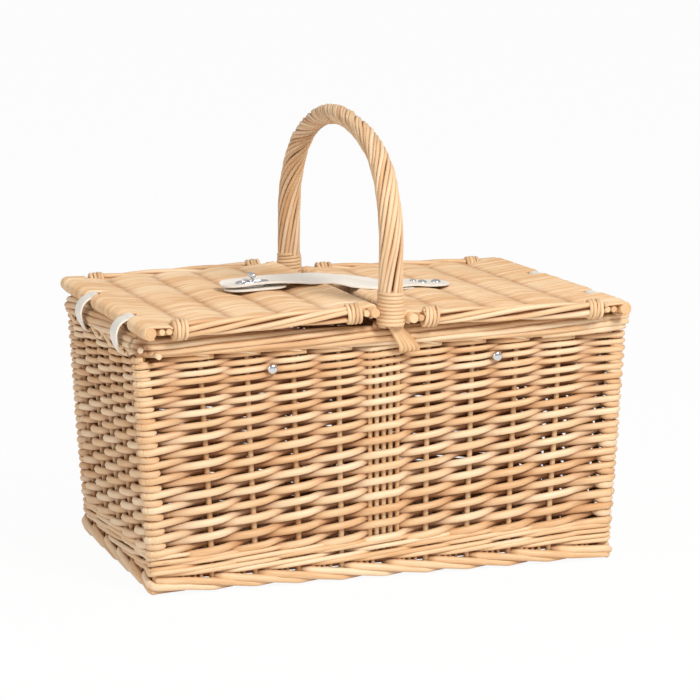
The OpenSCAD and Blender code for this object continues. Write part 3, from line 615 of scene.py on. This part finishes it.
for node, is_fan in (("handle_liner_rods", False), ("handle_fan_rods", True)):
    rods = []
    for s in (-1, 1):
        for i in range(5):
            wander = chance.normal(0, 0.2, 4)
            if is_fan:
                line = [(11 + 4.0 * i, 208.5, 147.6), (10.4 + 3.7 * i, 213, 150.0),
                        (5.5 + 3.0 * i, 222, 150.6), (-1.5 + 2.1 * i, 234, 151.2)]
                radii = np.interp(np.linspace(0, 1, 10), [0, 0.1, 1], [1.4, 2.2, 2.0])
            else:
                x = (i - 2) * 6.5
                line = [(x, 22, 133), (x + wander[0], 120, 133), (x + wander[1], 205, 133.4),
                        (x * 0.94, 222, 136.5), (x * 0.84 - 0.5, 234, 142.8)]
                radii = 2.2
            points = [(-s * x, s * y, z) for x, z, y in line]
            rods.append((smooth_path(points, 3), radii, chance.random()))
    piece = lay_rods(node + "_willow", rods, 10, finish=stick_willow)
    stand_for(piece, "root", node)

# ---------- Handle ----------
# A thick stick bent into a bow, wound from end to end with a rope of fourteen thin
# rods that twist more tightly over the top.

FOOT_Z, BEND_Z, HANDLE_Y, LEAN = 231.6, 292.0, 150.5, math.radians(0.2)
SHOULDER_R, TOP_R, TOP_Z = 105.0, 198.6, 210.2
SHOULDER_Y = HANDLE_Y - SHOULDER_R
spread = math.atan2(BEND_Z - TOP_Z, SHOULDER_Y)
bow_line = [[-HANDLE_Y, z] for z in np.linspace(FOOT_Z, BEND_Z, 25)]
bow_line += [[-SHOULDER_Y - SHOULDER_R * math.cos(a), BEND_Z + SHOULDER_R * math.sin(a)]
             for a in np.linspace(0, spread, 40)[1:]]
bow_line += [[-TOP_R * math.cos(a), TOP_Z + TOP_R * math.sin(a)]
             for a in np.linspace(spread, math.pi / 2, 36)[1:]]
bow_line = np.array(bow_line + [[-y, z] for y, z in bow_line[-2::-1]])
bow_way = np.gradient(bow_line, axis=0)
bow_way /= np.linalg.norm(bow_way, axis=1)[:, None]
bow_run = np.concatenate([[0], np.cumsum(np.linalg.norm(np.diff(bow_line, axis=0), axis=1))])
bow_half = bow_run[-1] / 2


def bow_lean(y, z):
    """How far to the right of its foot the bow leans; the front leg bulges a little."""
    rise = z - FOOT_Z
    bulge = np.interp(rise, [0, 60, 110, 150, 168, 177], [0, 0.5, 2.8, 4.6, 3.2, 0])
    return (y < 0) * bulge - rise * math.sin(LEAN)


def on_bow(n, r, angle):
    """A point beside place n of the bow; angle 0 is the outer side and 90 to the left."""
    (y, z), (wy, wz) = bow_line[n], bow_way[n]
    out, left = r * math.cos(angle), r * math.sin(angle)
    y, z = y - wz * out, z + wy * out
    return [bow_lean(y, z) - left, y, z]


from_foot = np.minimum(bow_run, 2 * bow_half - bow_run)
GRIP_AT = [0, 30, 70, 120, 170, bow_half]
grip = np.interp(from_foot, GRIP_AT, [8.5, 8.9, 8.9, 8.5, 7.8, 7.4])
strand_r = np.interp(from_foot, GRIP_AT, [2.15, 2.25, 2.2, 2.1, 2.0, 1.9])
pitch = np.interp(from_foot, [0, 40, 90, 150, bow_half], [420, 390, 240, 130, 96])
twist = np.concatenate([[0], np.cumsum(2 * math.pi * np.diff(bow_run)
                                       / (pitch[1:] + pitch[:-1]) * 2)])
ROPE_RODS = 14
ropes = []
for i in range(ROPE_RODS):
    wobble = np.interp(bow_run, np.linspace(0, bow_run[-1], 16), chance.normal(0, 0.07, 16))
    swell = np.interp(bow_run, np.linspace(0, bow_run[-1], 22), chance.normal(0, 0.22, 22))
    turn = 2 * math.pi * i / ROPE_RODS - twist + wobble
    points = [on_bow(n, grip[n] + swell[n], turn[n]) for n in range(len(bow_line))]
    ropes.append((points, strand_r * chance.normal(1, 0.05), chance.random()))
for foot in (0, 1):
    for turn in chance.uniform(0, 2 * math.pi, 5):
        ends = range(0, 16) if foot == 0 else range(len(bow_line) - 1, len(bow_line) - 17, -1)
        points = [on_bow(n, 10.2 - 0.08 * m, turn + 0.012 * m) for m, n in enumerate(ends)]
        ropes.append((points, np.interp(range(16), [0, 12, 15], [1.8, 1.7, 0.6]),
                      chance.random()))


def in_rope(v):
    """How deep between the rope's strands a point lies, which is the painted shade it gets."""
    z = v[:, 2]
    y = np.abs(v[:, 1])
    side = v[:, 0] - bow_lean(v[:, 1], z)
    shoulder = np.hypot(y - SHOULDER_Y, z - BEND_Z) - SHOULDER_R
    top = np.hypot(y, z - TOP_Z) - TOP_R
    near = np.where(z < BEND_Z, y - HANDLE_Y,
                    np.where(np.arctan2(z - BEND_Z, y - SHOULDER_Y) < spread, shoulder, top))
    skin = np.interp(z, [FOOT_Z, 262, 300, 340, 420], [10.8, 11.1, 11.1, 10.5, 9.3])
    return (skin - np.hypot(near, side)) / 2.0


stand_for(lay_rods("handle_rope", ropes, 8, in_rope), "root", "handle_roping")
# Painted shade: the stick inside the rope is painted fully dark.
core = [([on_bow(n, 0, 0) for n in range(0, len(bow_line), 3)], 6.6, 1.0)]
stand_for(lay_rods("handle_stick", core, 14, lambda v: 1 + 0 * v[:, 0], stick_willow), "root",
          "handle_core")

# ---------- Handle bindings ----------
# Split cane wound tight round each foot of the handle, nine turns at the front and
# eight at the back. It flares at its lower end, where it holds the fan rods.

for node, s in (("handle_binding_front", -1), ("handle_binding_back", 1)):
    turns, height = (9, 34.0) if s < 0 else (8, 30.0)
    around = np.linspace(0, 2 * math.pi * turns, turns * 20 + 1)
    level = 1.9 + (height - 3.8) * around / around[-1]
    axis_x = bow_lean(s, FOOT_Z + level)
    swell = chance.normal(0, 0.16, turns + 2)
    r = (np.interp(level, [0, 8, height], [11.8, 11.2, 10.3])
         + np.interp(around, np.arange(turns + 2) * 2 * math.pi, swell))
    wind = np.column_stack([axis_x + r * np.sin(around), s * (HANDLE_Y - r * np.cos(around)),
                            FOOT_Z + level + 0.5 * np.cos(around - 0.6)])
    wraps = [(wind, 1.95, 0.4, (1.0, 0.85))]
    # Painted shade: a rod of the darkest tone fills the binding, and the cane is darker the nearer it
    # lies to the handle's axis.
    filling = [([[bow_lean(s, FOOT_Z + z), s * HANDLE_Y, FOOT_Z + z]
                 for z in (0.5, 15, height - 0.7)], 9.9, 1.0)]
    stand_for(lay_rods("cane_" + node, wraps + filling, 8,
                       lambda v: 3.2 - np.hypot(v[:, 0] + 0.4, np.abs(v[:, 1]) - HANDLE_Y) / 3.9,
                       cane), "root", node)

# ---------- Lid sticks ----------
# Each lid hangs on a thick stick at its outer end and has one more at its inner edge.
# Between them are four ribs that the weave runs over and three thin sticks, two beside
# the hinge stick and one beside the edge.

HINGE_X, HINGE_Z, LID_REACH, LID_HALF = 222.0, 238.5, 204.0, 150.5
RIBS = (58.7, 102.1, 145.5, 188.9)
RIB_PITCH, RIB_R = 43.4, 2.9
THIN_STICKS = (10.2, 16.6, 196.4)
LID_SIDE = {"left": -1, "right": 1}
TILT = {"left": math.radians(2.2), "right": math.radians(0.4)}


def on_lid(lid, x, y, z):
    """Places x, y, z of a lid, measured from its hinge stick inwards, in the basket."""
    t = TILT[lid]
    reach = x * np.cos(t) - z * np.sin(t)
    return np.stack(np.broadcast_arrays(LID_SIDE[lid] * (HINGE_X - reach), y,
                                        HINGE_Z + x * np.sin(t) + z * np.cos(t)), -1)


for lid in TILT:
    body = lid + "_lid"
    for part, x, r, reach in (("hinge_stick", 0, 4.9, 163.5), ("edge_stick", LID_REACH, 4.3, 163.5)):
        y = np.array([-reach, -reach + 1.0, -60, 60, reach - 1.0, reach])
        line = on_lid(lid, x + np.array([0, 0, 0.3, -0.3, 0, 0]), y, 0 * y)
        stick = [(line, np.array([r - 0.7, r, r, r, r, r - 0.7]), chance.random())]
        stand_for(lay_rods("%s_%s_willow" % (body, part), stick, 14, finish=stick_willow), body,
                  "%s_%s" % (body, part))
    ribs = []
    for x in sorted((*RIBS, *THIN_STICKS)):
        reach = 162.0 if x in THIN_STICKS else 155.0
        y = np.array([-reach, -reach + 0.7, 0, reach - 0.7, reach])
        ribs.append((on_lid(lid, x, y, 0 * y), RIB_R - np.array([0.5, 0, 0, 0, 0.5]),
                     chance.random()))
    # Painted shade: the ribs are painted dark where the weave covers them.
    stand_for(lay_rods(body + "_rib_willow", ribs, 10, lambda v: 1.0 * (np.abs(v[:, 1]) < 150.0),
                       stick_willow), body, body + "_ribs")

# ---------- Lid weave ----------
# Fine rods laid side by side, over one stick and under the next, and turned round the
# hinge stick and the edge stick.

LOOP_YS = (-92.6, 43.8)
LOOP_GAP = 12.2
LID_RODS, LID_ROD_R = 101, 2.4
HINGE_TURN = np.radians(np.arange(300, 69, -22.5))    # round the hinge stick


def from_hinge(lid, v):
    """How far in from the hinge stick of a lid points of the basket lie."""
    return HINGE_X - LID_SIDE[lid] * v[:, 0]


def lid_height(lid, v):
    """How high over the middle of a lid they lie."""
    return (v[:, 2] - HINGE_Z) * math.cos(TILT[lid]) - from_hinge(lid, v) * math.sin(TILT[lid])


def lid_path(over_first, hinge_wrap):
    """Middle line of one rod of the weave from hinge to edge, as x and z. A rod that goes
    over the first rib is the one that wraps the edge stick and, clear of the loops, the
    hinge stick."""
    x = np.linspace(14.0 if over_first else 9.0, 199.0, 46)
    wave = np.cos(math.pi * (x - RIBS[0]) / RIB_PITCH) * (-1 if over_first else 1)
    z = np.sign(wave) * np.abs(wave) ** 0.9 * 3.5
    line = np.column_stack([x, z])
    if over_first:
        if hinge_wrap:
            roll = np.column_stack([5.7 * np.cos(HINGE_TURN), 5.7 * np.sin(HINGE_TURN)])
            line = np.vstack([roll, [[8.0, 5.0]], line[1:]])
        else:
            line = np.vstack([[[7.4, -1.0], [7.7, 2.0], [9.4, 3.9]], line[1:]])
        turn = np.radians(np.arange(80, -101, -22.5))
        line = np.vstack([line[line[:, 0] < 198],
                          np.column_stack([LID_REACH + 4.9 * np.cos(turn),
                                           4.9 * np.sin(turn)])])
    return line


for lid in TILT:
    rods = []
    knots = np.arange(0, LID_RODS + 6, 5)
    tone = np.clip(np.interp(np.arange(LID_RODS), knots, chance.random(len(knots))) * 0.5
                   + chance.random(LID_RODS) * 0.7, 0, 1)
    for n in range(LID_RODS):
        y = -LID_HALF + 1.6 + n * (2 * LID_HALF - 3.2) / (LID_RODS - 1)
        wraps = not any(abs(y - loop) < LOOP_GAP for loop in LOOP_YS)
        line = lid_path(n % 2 == 0, wraps)
        drift = np.interp(line[:, 0], [-10, 60, 120, 210], chance.normal(0, 0.35, 4))
        if not wraps:
            loop = min(LOOP_YS, key=lambda place: abs(y - place))
            drift = drift + (y - loop) * 0.12 * np.clip(1 - (line[:, 0] - 14) / 20, 0, 1)
        jitter = np.interp(line[:, 0], np.linspace(-10, 210, 11), chance.normal(0, 0.14, 11))
        path = on_lid(lid, line[:, 0], y + drift, line[:, 1] + jitter)
        rods.append((path, LID_ROD_R * chance.normal(1, 0.06), tone[n], (0.93, 0.86)))
    for y in (153.4, 156.2, 159.0, 161.6):
        for s in (-1, 1):
            roll = [[5.4 * math.cos(a), 5.4 * math.sin(a)] for a in HINGE_TURN]
            roll = np.array(roll + [[8, 5.0], [17, 4.4], [19.5, 2.5]])
            rods.append((on_lid(lid, roll[:, 0], s * y + chance.normal(0, 0.2), roll[:, 1]), 1.7,
                         chance.random(), (1.0, 0.8)))

    # Painted shade: between the end sticks the lid's rods are darker the nearer they lie to its middle
    # plane, deep in the weave.
    def in_lid(v):
        x = from_hinge(lid, v)
        deep = 1.1 - np.abs(lid_height(lid, v)) / 3.0
        return np.where((x > 24) & (x < 200), deep, 0.0)
    stand_for(lay_rods(lid + "_lid_rods", rods, 8, in_lid, upright=(0, 1, 0)), lid + "_lid",
              lid + "_lid_weave")

# ---------- Lid siding and bindings ----------
# Five rods twisted together run along the front and back edge of each lid over the ends
# of the sticks, and short cane bindings hold them near the corners. Dark rods inside
# keep light from showing through.

SIDING_Y, SIDING_RODS, SIDING_PITCH = 155.6, 5, 235.0
BINDINGS_AT, BINDING_TURNS = (27.2, 185.8), 4

for lid in TILT:
    body = lid + "_lid"
    strands, bindings = [], []
    for s in (-1, 1):
        x = np.linspace(20.0, 193.0, 70)
        for k in range(SIDING_RODS):
            turn = (2 * math.pi * (x / SIDING_PITCH + k / SIDING_RODS + 0.1 * s)
                    + chance.normal(0, 0.15))
            y = s * (SIDING_Y + 3.2 * np.cos(turn))
            z = -4.9 * LID_SIDE[lid] * np.sin(turn)
            strands.append((on_lid(lid, x, y, z), np.linspace(2.7, 2.3, len(x)), chance.random()))
        # Painted shade: two rods of the darkest tone inside the twist are painted dark all over.
        for y, z, r in ((153.6, 0.0, 3.4), (150.6, -2.0, 2.9)):
            strands.append((on_lid(lid, x, s * y + 0 * x, z + 0 * x), r, 1.0))
        for x in BINDINGS_AT:
            around = np.radians(np.arange(0, 361, 20) + (180 if s > 0 else 0))
            for k in range(BINDING_TURNS):
                lean = chance.normal(0, 0.5)
                size = 1.0 + 0.07 * math.sin(math.pi * (k + 0.5) / BINDING_TURNS)
                along = x + (k - 1.5) * 3.45 + lean * np.sin(around)
                bindings.append((on_lid(lid, along, s * 154.6 + 6.6 * size * np.cos(around),
                                        7.6 * size * np.sin(around)), 1.7, chance.random()))
            # Painted shade: a rod of the darkest tone fills each binding.
            fill = on_lid(lid, np.linspace(x - 5, x + 5, 3), s * 156.0, 0.0)
            bindings.append((fill, 6.0, 1.0))

    # Painted shade: the siding's rods are darker the deeper they lie in the twist.
    def in_siding(v):
        return (6.3 - np.hypot(1.2 * (np.abs(v[:, 1]) - SIDING_Y), lid_height(lid, v))) / 2.6
    stand_for(lay_rods(body + "_siding_rods", strands, 8, in_siding), body,
              body + "_siding")
    stand_for(lay_rods(body + "_cane", bindings, 8, finish=cane), body,
              body + "_bindings")

# ---------- Hinge loops ----------
# A band of off-white leather goes round the hinge stick and down through the wall under
# the rim, narrowing where it enters.


def leather_finish(name, colour, shadow, rough=0.55):
    """Leather with a fine grain, a few creases and slightly soiled patches spread at random."""
    finish, wire = new_finish(name)
    room = wire.node("TexCoord", (), (), 3)
    grain = wire.node("TexVoronoi", (), {"Vector": room, "Scale": 900.0})
    cloud = wire.node("TexNoise", (), {"Vector": room, "Scale": 45.0, "Detail": 4.0})
    crease = wire.node("TexNoise", (), {"Vector": room, "Scale": 260.0, "Detail": 3.0})
    tone = ((cloud - 0.35) * 1.4).clamp()
    blend = wire.mix("MIX", tone, shadow, colour)
    bump = wire.node("Bump", (), {"Strength": 0.35, "Distance": 0.0004,
                                  "Height": grain * 0.6 + crease * 0.8 + cloud * 0.8})
    shade(wire, blend, crease * 0.2 + rough - 0.1, bump, Specular_IOR_Level=0.45)
    return finish


leather = leather_finish("leather", (0.95, 0.91, 0.85, 1), (0.87, 0.82, 0.74, 1))


def lay_band(name, line, half_widths, thick, shift):
    """A closed leather band along a line of points in mm, with that half-width and that
    shift to the back at each."""
    n = len(line)
    across = np.array([0.0, 1.0, 0.0])
    way = np.roll(line, -1, 0) - np.roll(line, 1, 0)
    way /= np.linalg.norm(way, axis=1)[:, None]
    up = np.cross(way, across)
    up /= np.linalg.norm(up, axis=1)[:, None]
    spots = np.linspace(-1, 1, 5)
    ring = [(s, 1) for s in spots] + [(s, -1) for s in spots[::-1]]
    verts = [line[i] + across * (s * half_widths[i] + shift[i]) + up[i] * f * thick / 2
             for i in range(n) for s, f in ring]
    m = len(ring)
    faces = [[i * m + j, (i + 1) % n * m + j, (i + 1) % n * m + (j + 1) % m, i * m + (j + 1) % m]
             for i in range(n) for j in range(m)]
    return new_piece(name, verts, faces, leather)


def choose(piece):
    bpy.ops.object.select_all(action="DESELECT")
    bpy.context.view_layer.objects.active = piece
    piece.select_set(True)


def face_outwards(piece):
    choose(piece)
    bpy.ops.object.mode_set(mode="EDIT")
    bpy.ops.mesh.select_all(action="SELECT")
    bpy.ops.mesh.normals_make_consistent(inside=False)
    bpy.ops.object.mode_set(mode="OBJECT")


def soften(piece, width):
    """Rounds the edges of a piece, with its faces turned outwards."""
    face_outwards(piece)
    bevel = piece.modifiers.new("round", "BEVEL")
    bevel.width, bevel.segments, bevel.limit_method = width * MM, 2, "ANGLE"
    bpy.ops.object.modifier_apply(modifier="round")
    bpy.ops.object.shade_smooth_by_angle(angle=math.radians(50))


def join_pieces(pieces, name):
    bpy.ops.object.select_all(action="DESELECT")
    for piece in pieces:
        piece.select_set(True)
    bpy.context.view_layer.objects.active = pieces[0]
    bpy.ops.object.join()
    pieces[0].name = name
    pieces[0].data.name = name
    return pieces[0]


def loop_line():
    """Middle line of a hinge loop at the left end, seen from the front."""
    roll = [(-HINGE_X + 5.9 * math.cos(a), HINGE_Z + 5.9 * math.sin(a))
            for a in np.radians(np.arange(140, -1, -14))]
    inner = [(-215.6, 233.4), (-214.0, 229.0), (-213.2, 222), (-213.2, 216), (-215.0, 211.2)]
    outer = [(-229.0, 210.4), (-232.6, 212.4), (-235.2, 216.5), (-237.4, 222.5), (-238.2, 229),
             (-236.2, 235.6), (-231.4, 240.6)]
    return smooth_path(np.array(roll + inner + outer + [roll[0]]), 3)[:-1]


for end, flip in (("left", 1), ("right", -1)):
    loops = []
    for y in LOOP_YS:
        line = loop_line()
        points = np.column_stack([line[:, 0], np.full(len(line), y), line[:, 1]])
        width = np.interp(line[:, 1], [210, 213.5, 220, 229], [3.8, 4.6, 10.2, 10.8])
        neck = 2.9 if y < 0 else -2.9
        shift = np.interp(line[:, 1], [210, 213.5, 220], [neck, neck, 0])
        loop = lay_band("loop", points * (flip, 1, 1), width, 1.5, shift)
        soften(loop, 0.45)
        loops.append(loop)
    bands = join_pieces(loops, "hinge_bands_" + end)
    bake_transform(bands)
    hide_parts("hinge_loops_" + end)

# ---------- Rivets ----------
# Domed steel rivets: one high on each half of the front wall with a washer inside, and
# two through the end of the strap with a small one by its fold.


def metal_finish(name, colour, rough):
    """Plated steel with faint smears."""
    finish, wire = new_finish(name)
    room = wire.node("TexCoord", (), (), 3)
    smear = wire.node("TexNoise", (), {"Vector": room, "Scale": 400.0, "Detail": 3.0})
    shade(wire, colour, (smear * 0.16 + rough).clamp(), Metallic=1.0)
    return finish


chrome = metal_finish("chrome", (0.72, 0.72, 0.74, 1), 0.08)


def turned(name, profile, place, way=(0, 0, 1), steps=28):
    """A round piece spun from its outline of radius and height, set at a place."""
    angles = np.arange(steps) * 2 * math.pi / steps
    verts, faces = [], []
    for r, z in profile:
        if r == 0:
            verts.append((0, 0, z))
        else:
            verts += [(r * math.cos(a), r * math.sin(a), z) for a in angles]
    index = 0
    rows = []
    for r, z in profile:
        size = 1 if r == 0 else steps
        rows.append(list(range(index, index + size)))
        index += size
    for low, high in zip(rows, rows[1:]):
        for j in range(steps):
            k = (j + 1) % steps
            if len(low) == 1:
                faces.append([low[0], high[k], high[j]])
            elif len(high) == 1:
                faces.append([low[j], low[k], high[0]])
            else:
                faces.append([low[j], low[k], high[k], high[j]])
    if len(rows[0]) > 1:
        faces.append(rows[0][::-1])
    if len(rows[-1]) > 1:
        faces.append(rows[-1])
    turn = Vector((0, 0, 1)).rotation_difference(Vector(way)).to_matrix()
    piece = new_piece(name, [turn @ Vector(v) + Vector(place) for v in verts], faces, chrome)
    face_outwards(piece)
    bpy.ops.object.shade_smooth_by_angle(angle=math.radians(40))
    return piece


def dome(r, height, below):
    """Outline of a rivet from its shank's end to the top of its dome."""
    arc = [(r * math.cos(a), height * math.sin(a)) for a in np.radians(np.arange(0, 84, 12))]
    return [(0, -below), (1.9, -below), (1.9, -0.6), (r * 0.96, -0.6), (r, -0.2)] + arc + [(0, height)]


RIVET_X, RIVET_Z, RIVET_R = 106.5, 198.0, 4.7
heads = [turned("head", dome(RIVET_R, 2.8, 15.0), (s * RIVET_X, -140.6, RIVET_Z), (0, -1, 0))
         for s in (-1, 1)]
stand_for(join_pieces(heads, "wall_rivet_heads"), "root", "wall_rivets")
washer_outline = [(2.1, 0), (5.2, 0), (5.2, 0.9), (4.9, 1.2), (2.1, 1.2)]
washers = [turned("washer", washer_outline, (s * RIVET_X, -125.9, RIVET_Z), (0, 1, 0))
           for s in (-1, 1)]
stand_for(join_pieces(washers, "wall_rivet_washers"), "root", "rivet_washers")

# ---------- Strap on the right lid ----------
# A strap of off-white leather, riveted to the right lid over a shorter piece, reaches
# across the gap and lies on the left lid.

STRAP_X = [-113.5, -112, -104, -92, -74, -56, -40, -24, -4, 6, 16, 27.5, 39.4, 50, 62, 73.5, 80,
           85, 92, 99, 106, 111.5]
STRAP_Z = [252.9, 252.9, 253.2, 253.5, 254.9, 255.8, 255.9, 255.6, 255.0, 253.8, 251.9, 249.4,
           247.6, 247.2, 247.6, 248.2, 247.2, 246.4, 246.3, 246.4, 246.0, 245.7]
strap_x = np.linspace(-113.5, 111.5, 76)
strap_z = np.interp(strap_x, STRAP_X, STRAP_Z)
strap_z = np.convolve(np.pad(strap_z, 2, "edge"), np.ones(5) / 5, "valid")


def round_ended(from_end, half, least):
    """Half-width of a strap with a round end, by the distance from that end."""
    return half * np.sqrt(np.clip(1 - np.clip(1 - from_end / half, 0, 1) ** 2, least, 1))


strap_half = round_ended(np.minimum(strap_x + 114.0, 112.0 - strap_x), 18.0, 0.02)
front_sag = np.interp(strap_x, [-113, -97, -79, -61, -30, -9.5, 9, 19, 32, 60, 112],
                      [0.0, 1.2, 1.8, 0.8, -1.8, -1.4, -4.2, -3.6, -2.2, -0.3, 0])
back_lift = np.interp(strap_x, [-113, -91, -68, -52, -19, 2, 23, 36, 47, 60, 112],
                      [2.2, 2.6, 2.4, 2.0, 2.6, 1.4, 3.0, 3.2, 1.4, 0.2, 0])


def lay_strap(name, xs, zs, halves, thick, sag=0.0, lift=0.0):
    """A solid strap with round ends, sagging at its front edge and raised at its back."""
    sag, lift = (np.broadcast_to(drop, len(xs)) for drop in (sag, lift))
    across = np.linspace(-1, 1, 15)
    way = np.arctan2(np.gradient(zs), np.gradient(xs))
    verts = []
    for face in (1, -1):
        for n, x in enumerate(xs):
            for s in across:
                z = zs[n] + (sag[n] if s < 0 else lift[n]) * abs(s) ** 1.4
                verts.append((x - math.sin(way[n]) * face * thick / 2, s * halves[n],
                              z + math.cos(way[n]) * face * thick / 2))
    m, n = len(across), len(xs)
    top = [[i * m + j, (i + 1) * m + j, (i + 1) * m + j + 1, i * m + j + 1]
           for i in range(n - 1) for j in range(m - 1)]
    faces = top + [[n * m + v for v in face[::-1]] for face in top]
    rim = ([i * m for i in range(n)] + [(n - 1) * m + j for j in range(1, m)]
           + [i * m + m - 1 for i in range(n - 2, -1, -1)] + list(range(m - 2, 0, -1)))
    faces += [[a, b, n * m + b, n * m + a] for a, b in zip(rim, rim[1:] + rim[:1])]
    return new_piece(name, verts, faces, leather)


def oval_form(name, straight, profile, where, finish, ring=False, steps=14):
    """A piece whose plan is an oval with that half-length of straight side; profile is
    its outline as end radius and height, and where puts its points in place."""
    angles = np.radians(np.linspace(-90, 90, steps))
    plan_in = [(straight, a) for a in angles] + [(-straight, a + math.pi) for a in angles]
    verts = [(c + r * math.cos(a), r * math.sin(a), z) for r, z in profile for c, a in plan_in]
    m, n = len(plan_in), len(profile)
    faces = [[i * m + j, i * m + (j + 1) % m, ((i + 1) % n) * m + (j + 1) % m,
              ((i + 1) % n) * m + j] for i in range(n if ring else n - 1) for j in range(m)]
    if not ring:
        faces += [list(range(m))[::-1], [(n - 1) * m + j for j in range(m)]]
    piece = new_piece(name, where(*np.array(verts).T), faces, finish)
    face_outwards(piece)
    bpy.ops.object.shade_smooth_by_angle(angle=math.radians(40))
    return piece


LOCK_X = -82.7
SLOT_STRAIGHT = 8.7
strap = lay_strap("leather_strap", strap_x, strap_z, strap_half, 1.8, front_sag, back_lift)
cutter = oval_form("cutter", SLOT_STRAIGHT, [(6.2, -12), (6.2, 12)],
                   lambda x, y, z: np.stack([x + LOCK_X, y, z + 254], -1), leather)
choose(strap)
hole = strap.modifiers.new("hole", "BOOLEAN")
hole.object, hole.operation, hole.solver = cutter, "DIFFERENCE", "EXACT"
bpy.ops.object.modifier_apply(modifier="hole")
bpy.data.objects.remove(cutter)
soften(strap, 0.5)
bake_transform(strap)
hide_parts("closure_strap", "strap_anchor")

under_x = np.linspace(16.2, 71.5, 24)
under_half = round_ended(under_x - 16, 16.5, 0.03)
under = lay_strap("leather_under_strap", under_x,
                  np.interp(under_x, [16, 24, 40, 72], [246.6, 245.2, 244.6, 244.6]), under_half,
                  1.5)
soften(under, 0.45)
stand_for(under, "right_lid", "under_strap")

STRAP_RIVETS = (84.9, 98.9)
heads = [turned("head", dome(RIVET_R, 2.6, 16.0), (x, 0, z), (0, 0, 1))
         for x, z in zip(STRAP_RIVETS, (247.3, 247.2))]
heads.append(turned("head", dome(3.3, 1.5, 3.0), (75.6, 0.0, 249.2), (0, 0, 1)))
stand_for(join_pieces(heads, "strap_rivet_heads"), "right_lid", "strap_rivets")

# ---------- Turn lock ----------
# A plated oval with a turning bar stands on a leather patch on the left lid; the bar
# goes through the metal-edged slot of the strap and is turned across it.


def on_lock(x, y, z):
    return on_lid("left", HINGE_X + LOCK_X + x, y, z + 5.7)


patch = oval_form("leather_lock_patch", 13.0, [(16.6, 0.0), (17.0, 0.4), (17.0, 1.2), (16.6, 1.6)],
                  lambda x, y, z: on_lock(x + 2.0, y - 3.5, z), leather)
stand_for(patch, "left_lid", "lock_patch")
plate = oval_form("chrome_lock_plate", 5.8,
                  [(7.1, 1.7), (7.2, 2.2), (7.0, 2.9), (6.3, 3.3), (5.0, 3.5), (0.2, 3.6)],
                  on_lock, chrome)
stand_for(plate, "left_lid", "lock_plate")
eyelet = oval_form("chrome_eyelet", SLOT_STRAIGHT,
                   [(4.3, -1.4), (4.25, 1.2), (4.6, 1.9), (5.4, 2.25), (6.4, 2.15), (7.3, 1.7),
                    (7.7, 1.1), (7.7, 0.8), (6.2, 0.8), (6.2, -1.4)],
                   lambda x, y, z: np.stack([x + LOCK_X, y, z + 254.2 + 0.016 * x], -1),
                   chrome, ring=True)
stand_for(eyelet, "strap", "strap_eyelet")
neck_outline = [(2.2, -5.0), (2.2, 3.0), (4.2, 3.3), (4.0, 3.9), (2.6, 5.6), (2.0, 8.2), (2.0, 10.6)]
lock_place = on_lock(0.0, 0.0, 0.0)
lock_way = Vector((-math.sin(TILT["left"]), 0, math.cos(TILT["left"])))
neck = turned("neck", neck_outline, lock_place, lock_way)
bar = oval_form("bar", 4.7, [(1.5, 9.6), (2.2, 10.1), (2.5, 11.2), (2.45, 12.6), (2.0, 13.9),
                             (1.2, 14.5), (0.2, 14.6)], lambda x, y, z: on_lock(y, x, z), chrome)
stand_for(join_pieces([neck, bar], "chrome_turn_knob"), "knob", "turn_knob")

# ---------- Floor, light and camera ----------
# The basket stands on a plain white floor in soft light: a key lamp from the front right,
# a weaker one from the left and a pale room all round. The camera looks a little down.

bpy.ops.mesh.primitive_plane_add(size=60, location=(0, 10, -0.0005))
floor = bpy.context.active_object
floor.name = "studio_floor"
floor_finish, wire = new_finish("floor_white")
matt = wire.node("BsdfDiffuse", (), {"Color": (0.9, 0.9, 0.9, 1)})
bright = wire.node("Emission", (), {"Color": (1, 1, 1, 1), "Strength": 1.0})
path = wire.node("LightPath")
direct = Wire(wire.tree, path.socket.node.outputs["Is Camera Ray"])
mirrored = Wire(wire.tree, path.socket.node.outputs["Is Glossy Ray"])
through = Wire(wire.tree, path.socket.node.outputs["Is Transmission Ray"])
plain = wire.node("MixShader", (), {0: (direct + mirrored + through).clamp() * 0.95, 1: matt,
                                    2: bright})
wire.node("OutputMaterial", (), {"Surface": plain})
floor.data.materials.append(floor_finish)


def soft_lamp(name, place, aim, size, power, colour=(1, 1, 1)):
    lamp = bpy.data.lights.new(name, "AREA")
    lamp.shape, lamp.size, lamp.energy, lamp.color = "DISK", size, power, colour
    holder = bpy.data.objects.new(name, lamp)
    bpy.context.collection.objects.link(holder)
    holder.location = place
    holder.rotation_euler = (Vector(aim) - Vector(place)).to_track_quat("-Z", "Y").to_euler()


soft_lamp("key_lamp", (0.7, -2.3, 2.1), (0, 0, 0.15), 0.9, 66, (1.0, 0.97, 0.93))
soft_lamp("fill_lamp", (-2.6, -1.2, 1.2), (0, 0, 0.15), 1.8, 16, (1.0, 0.97, 0.93))
world = bpy.data.worlds.new("studio")
bpy.context.scene.world = world
world.use_nodes = True
world.node_tree.nodes.clear()
sky = Wire(world.node_tree)
seen = sky.node("LightPath")
level = seen * 0.5 + 0.5
glow = sky.node("Background", (), {"Color": (1, 1, 1, 1), "Strength": level})
sky.node("OutputWorld", (), {"Surface": glow})

eye = bpy.data.cameras.new("studio_camera")
eye.lens, eye.sensor_width = 140.35, 36.0
camera = bpy.data.objects.new("studio_camera", eye)
bpy.context.collection.objects.link(camera)
camera.location = (-0.798, -2.408, 0.613)
camera.rotation_euler = (math.radians(80.46), 0, math.radians(-18.61))
bpy.context.scene.camera = camera
bpy.context.scene.view_settings.view_transform = "Standard"
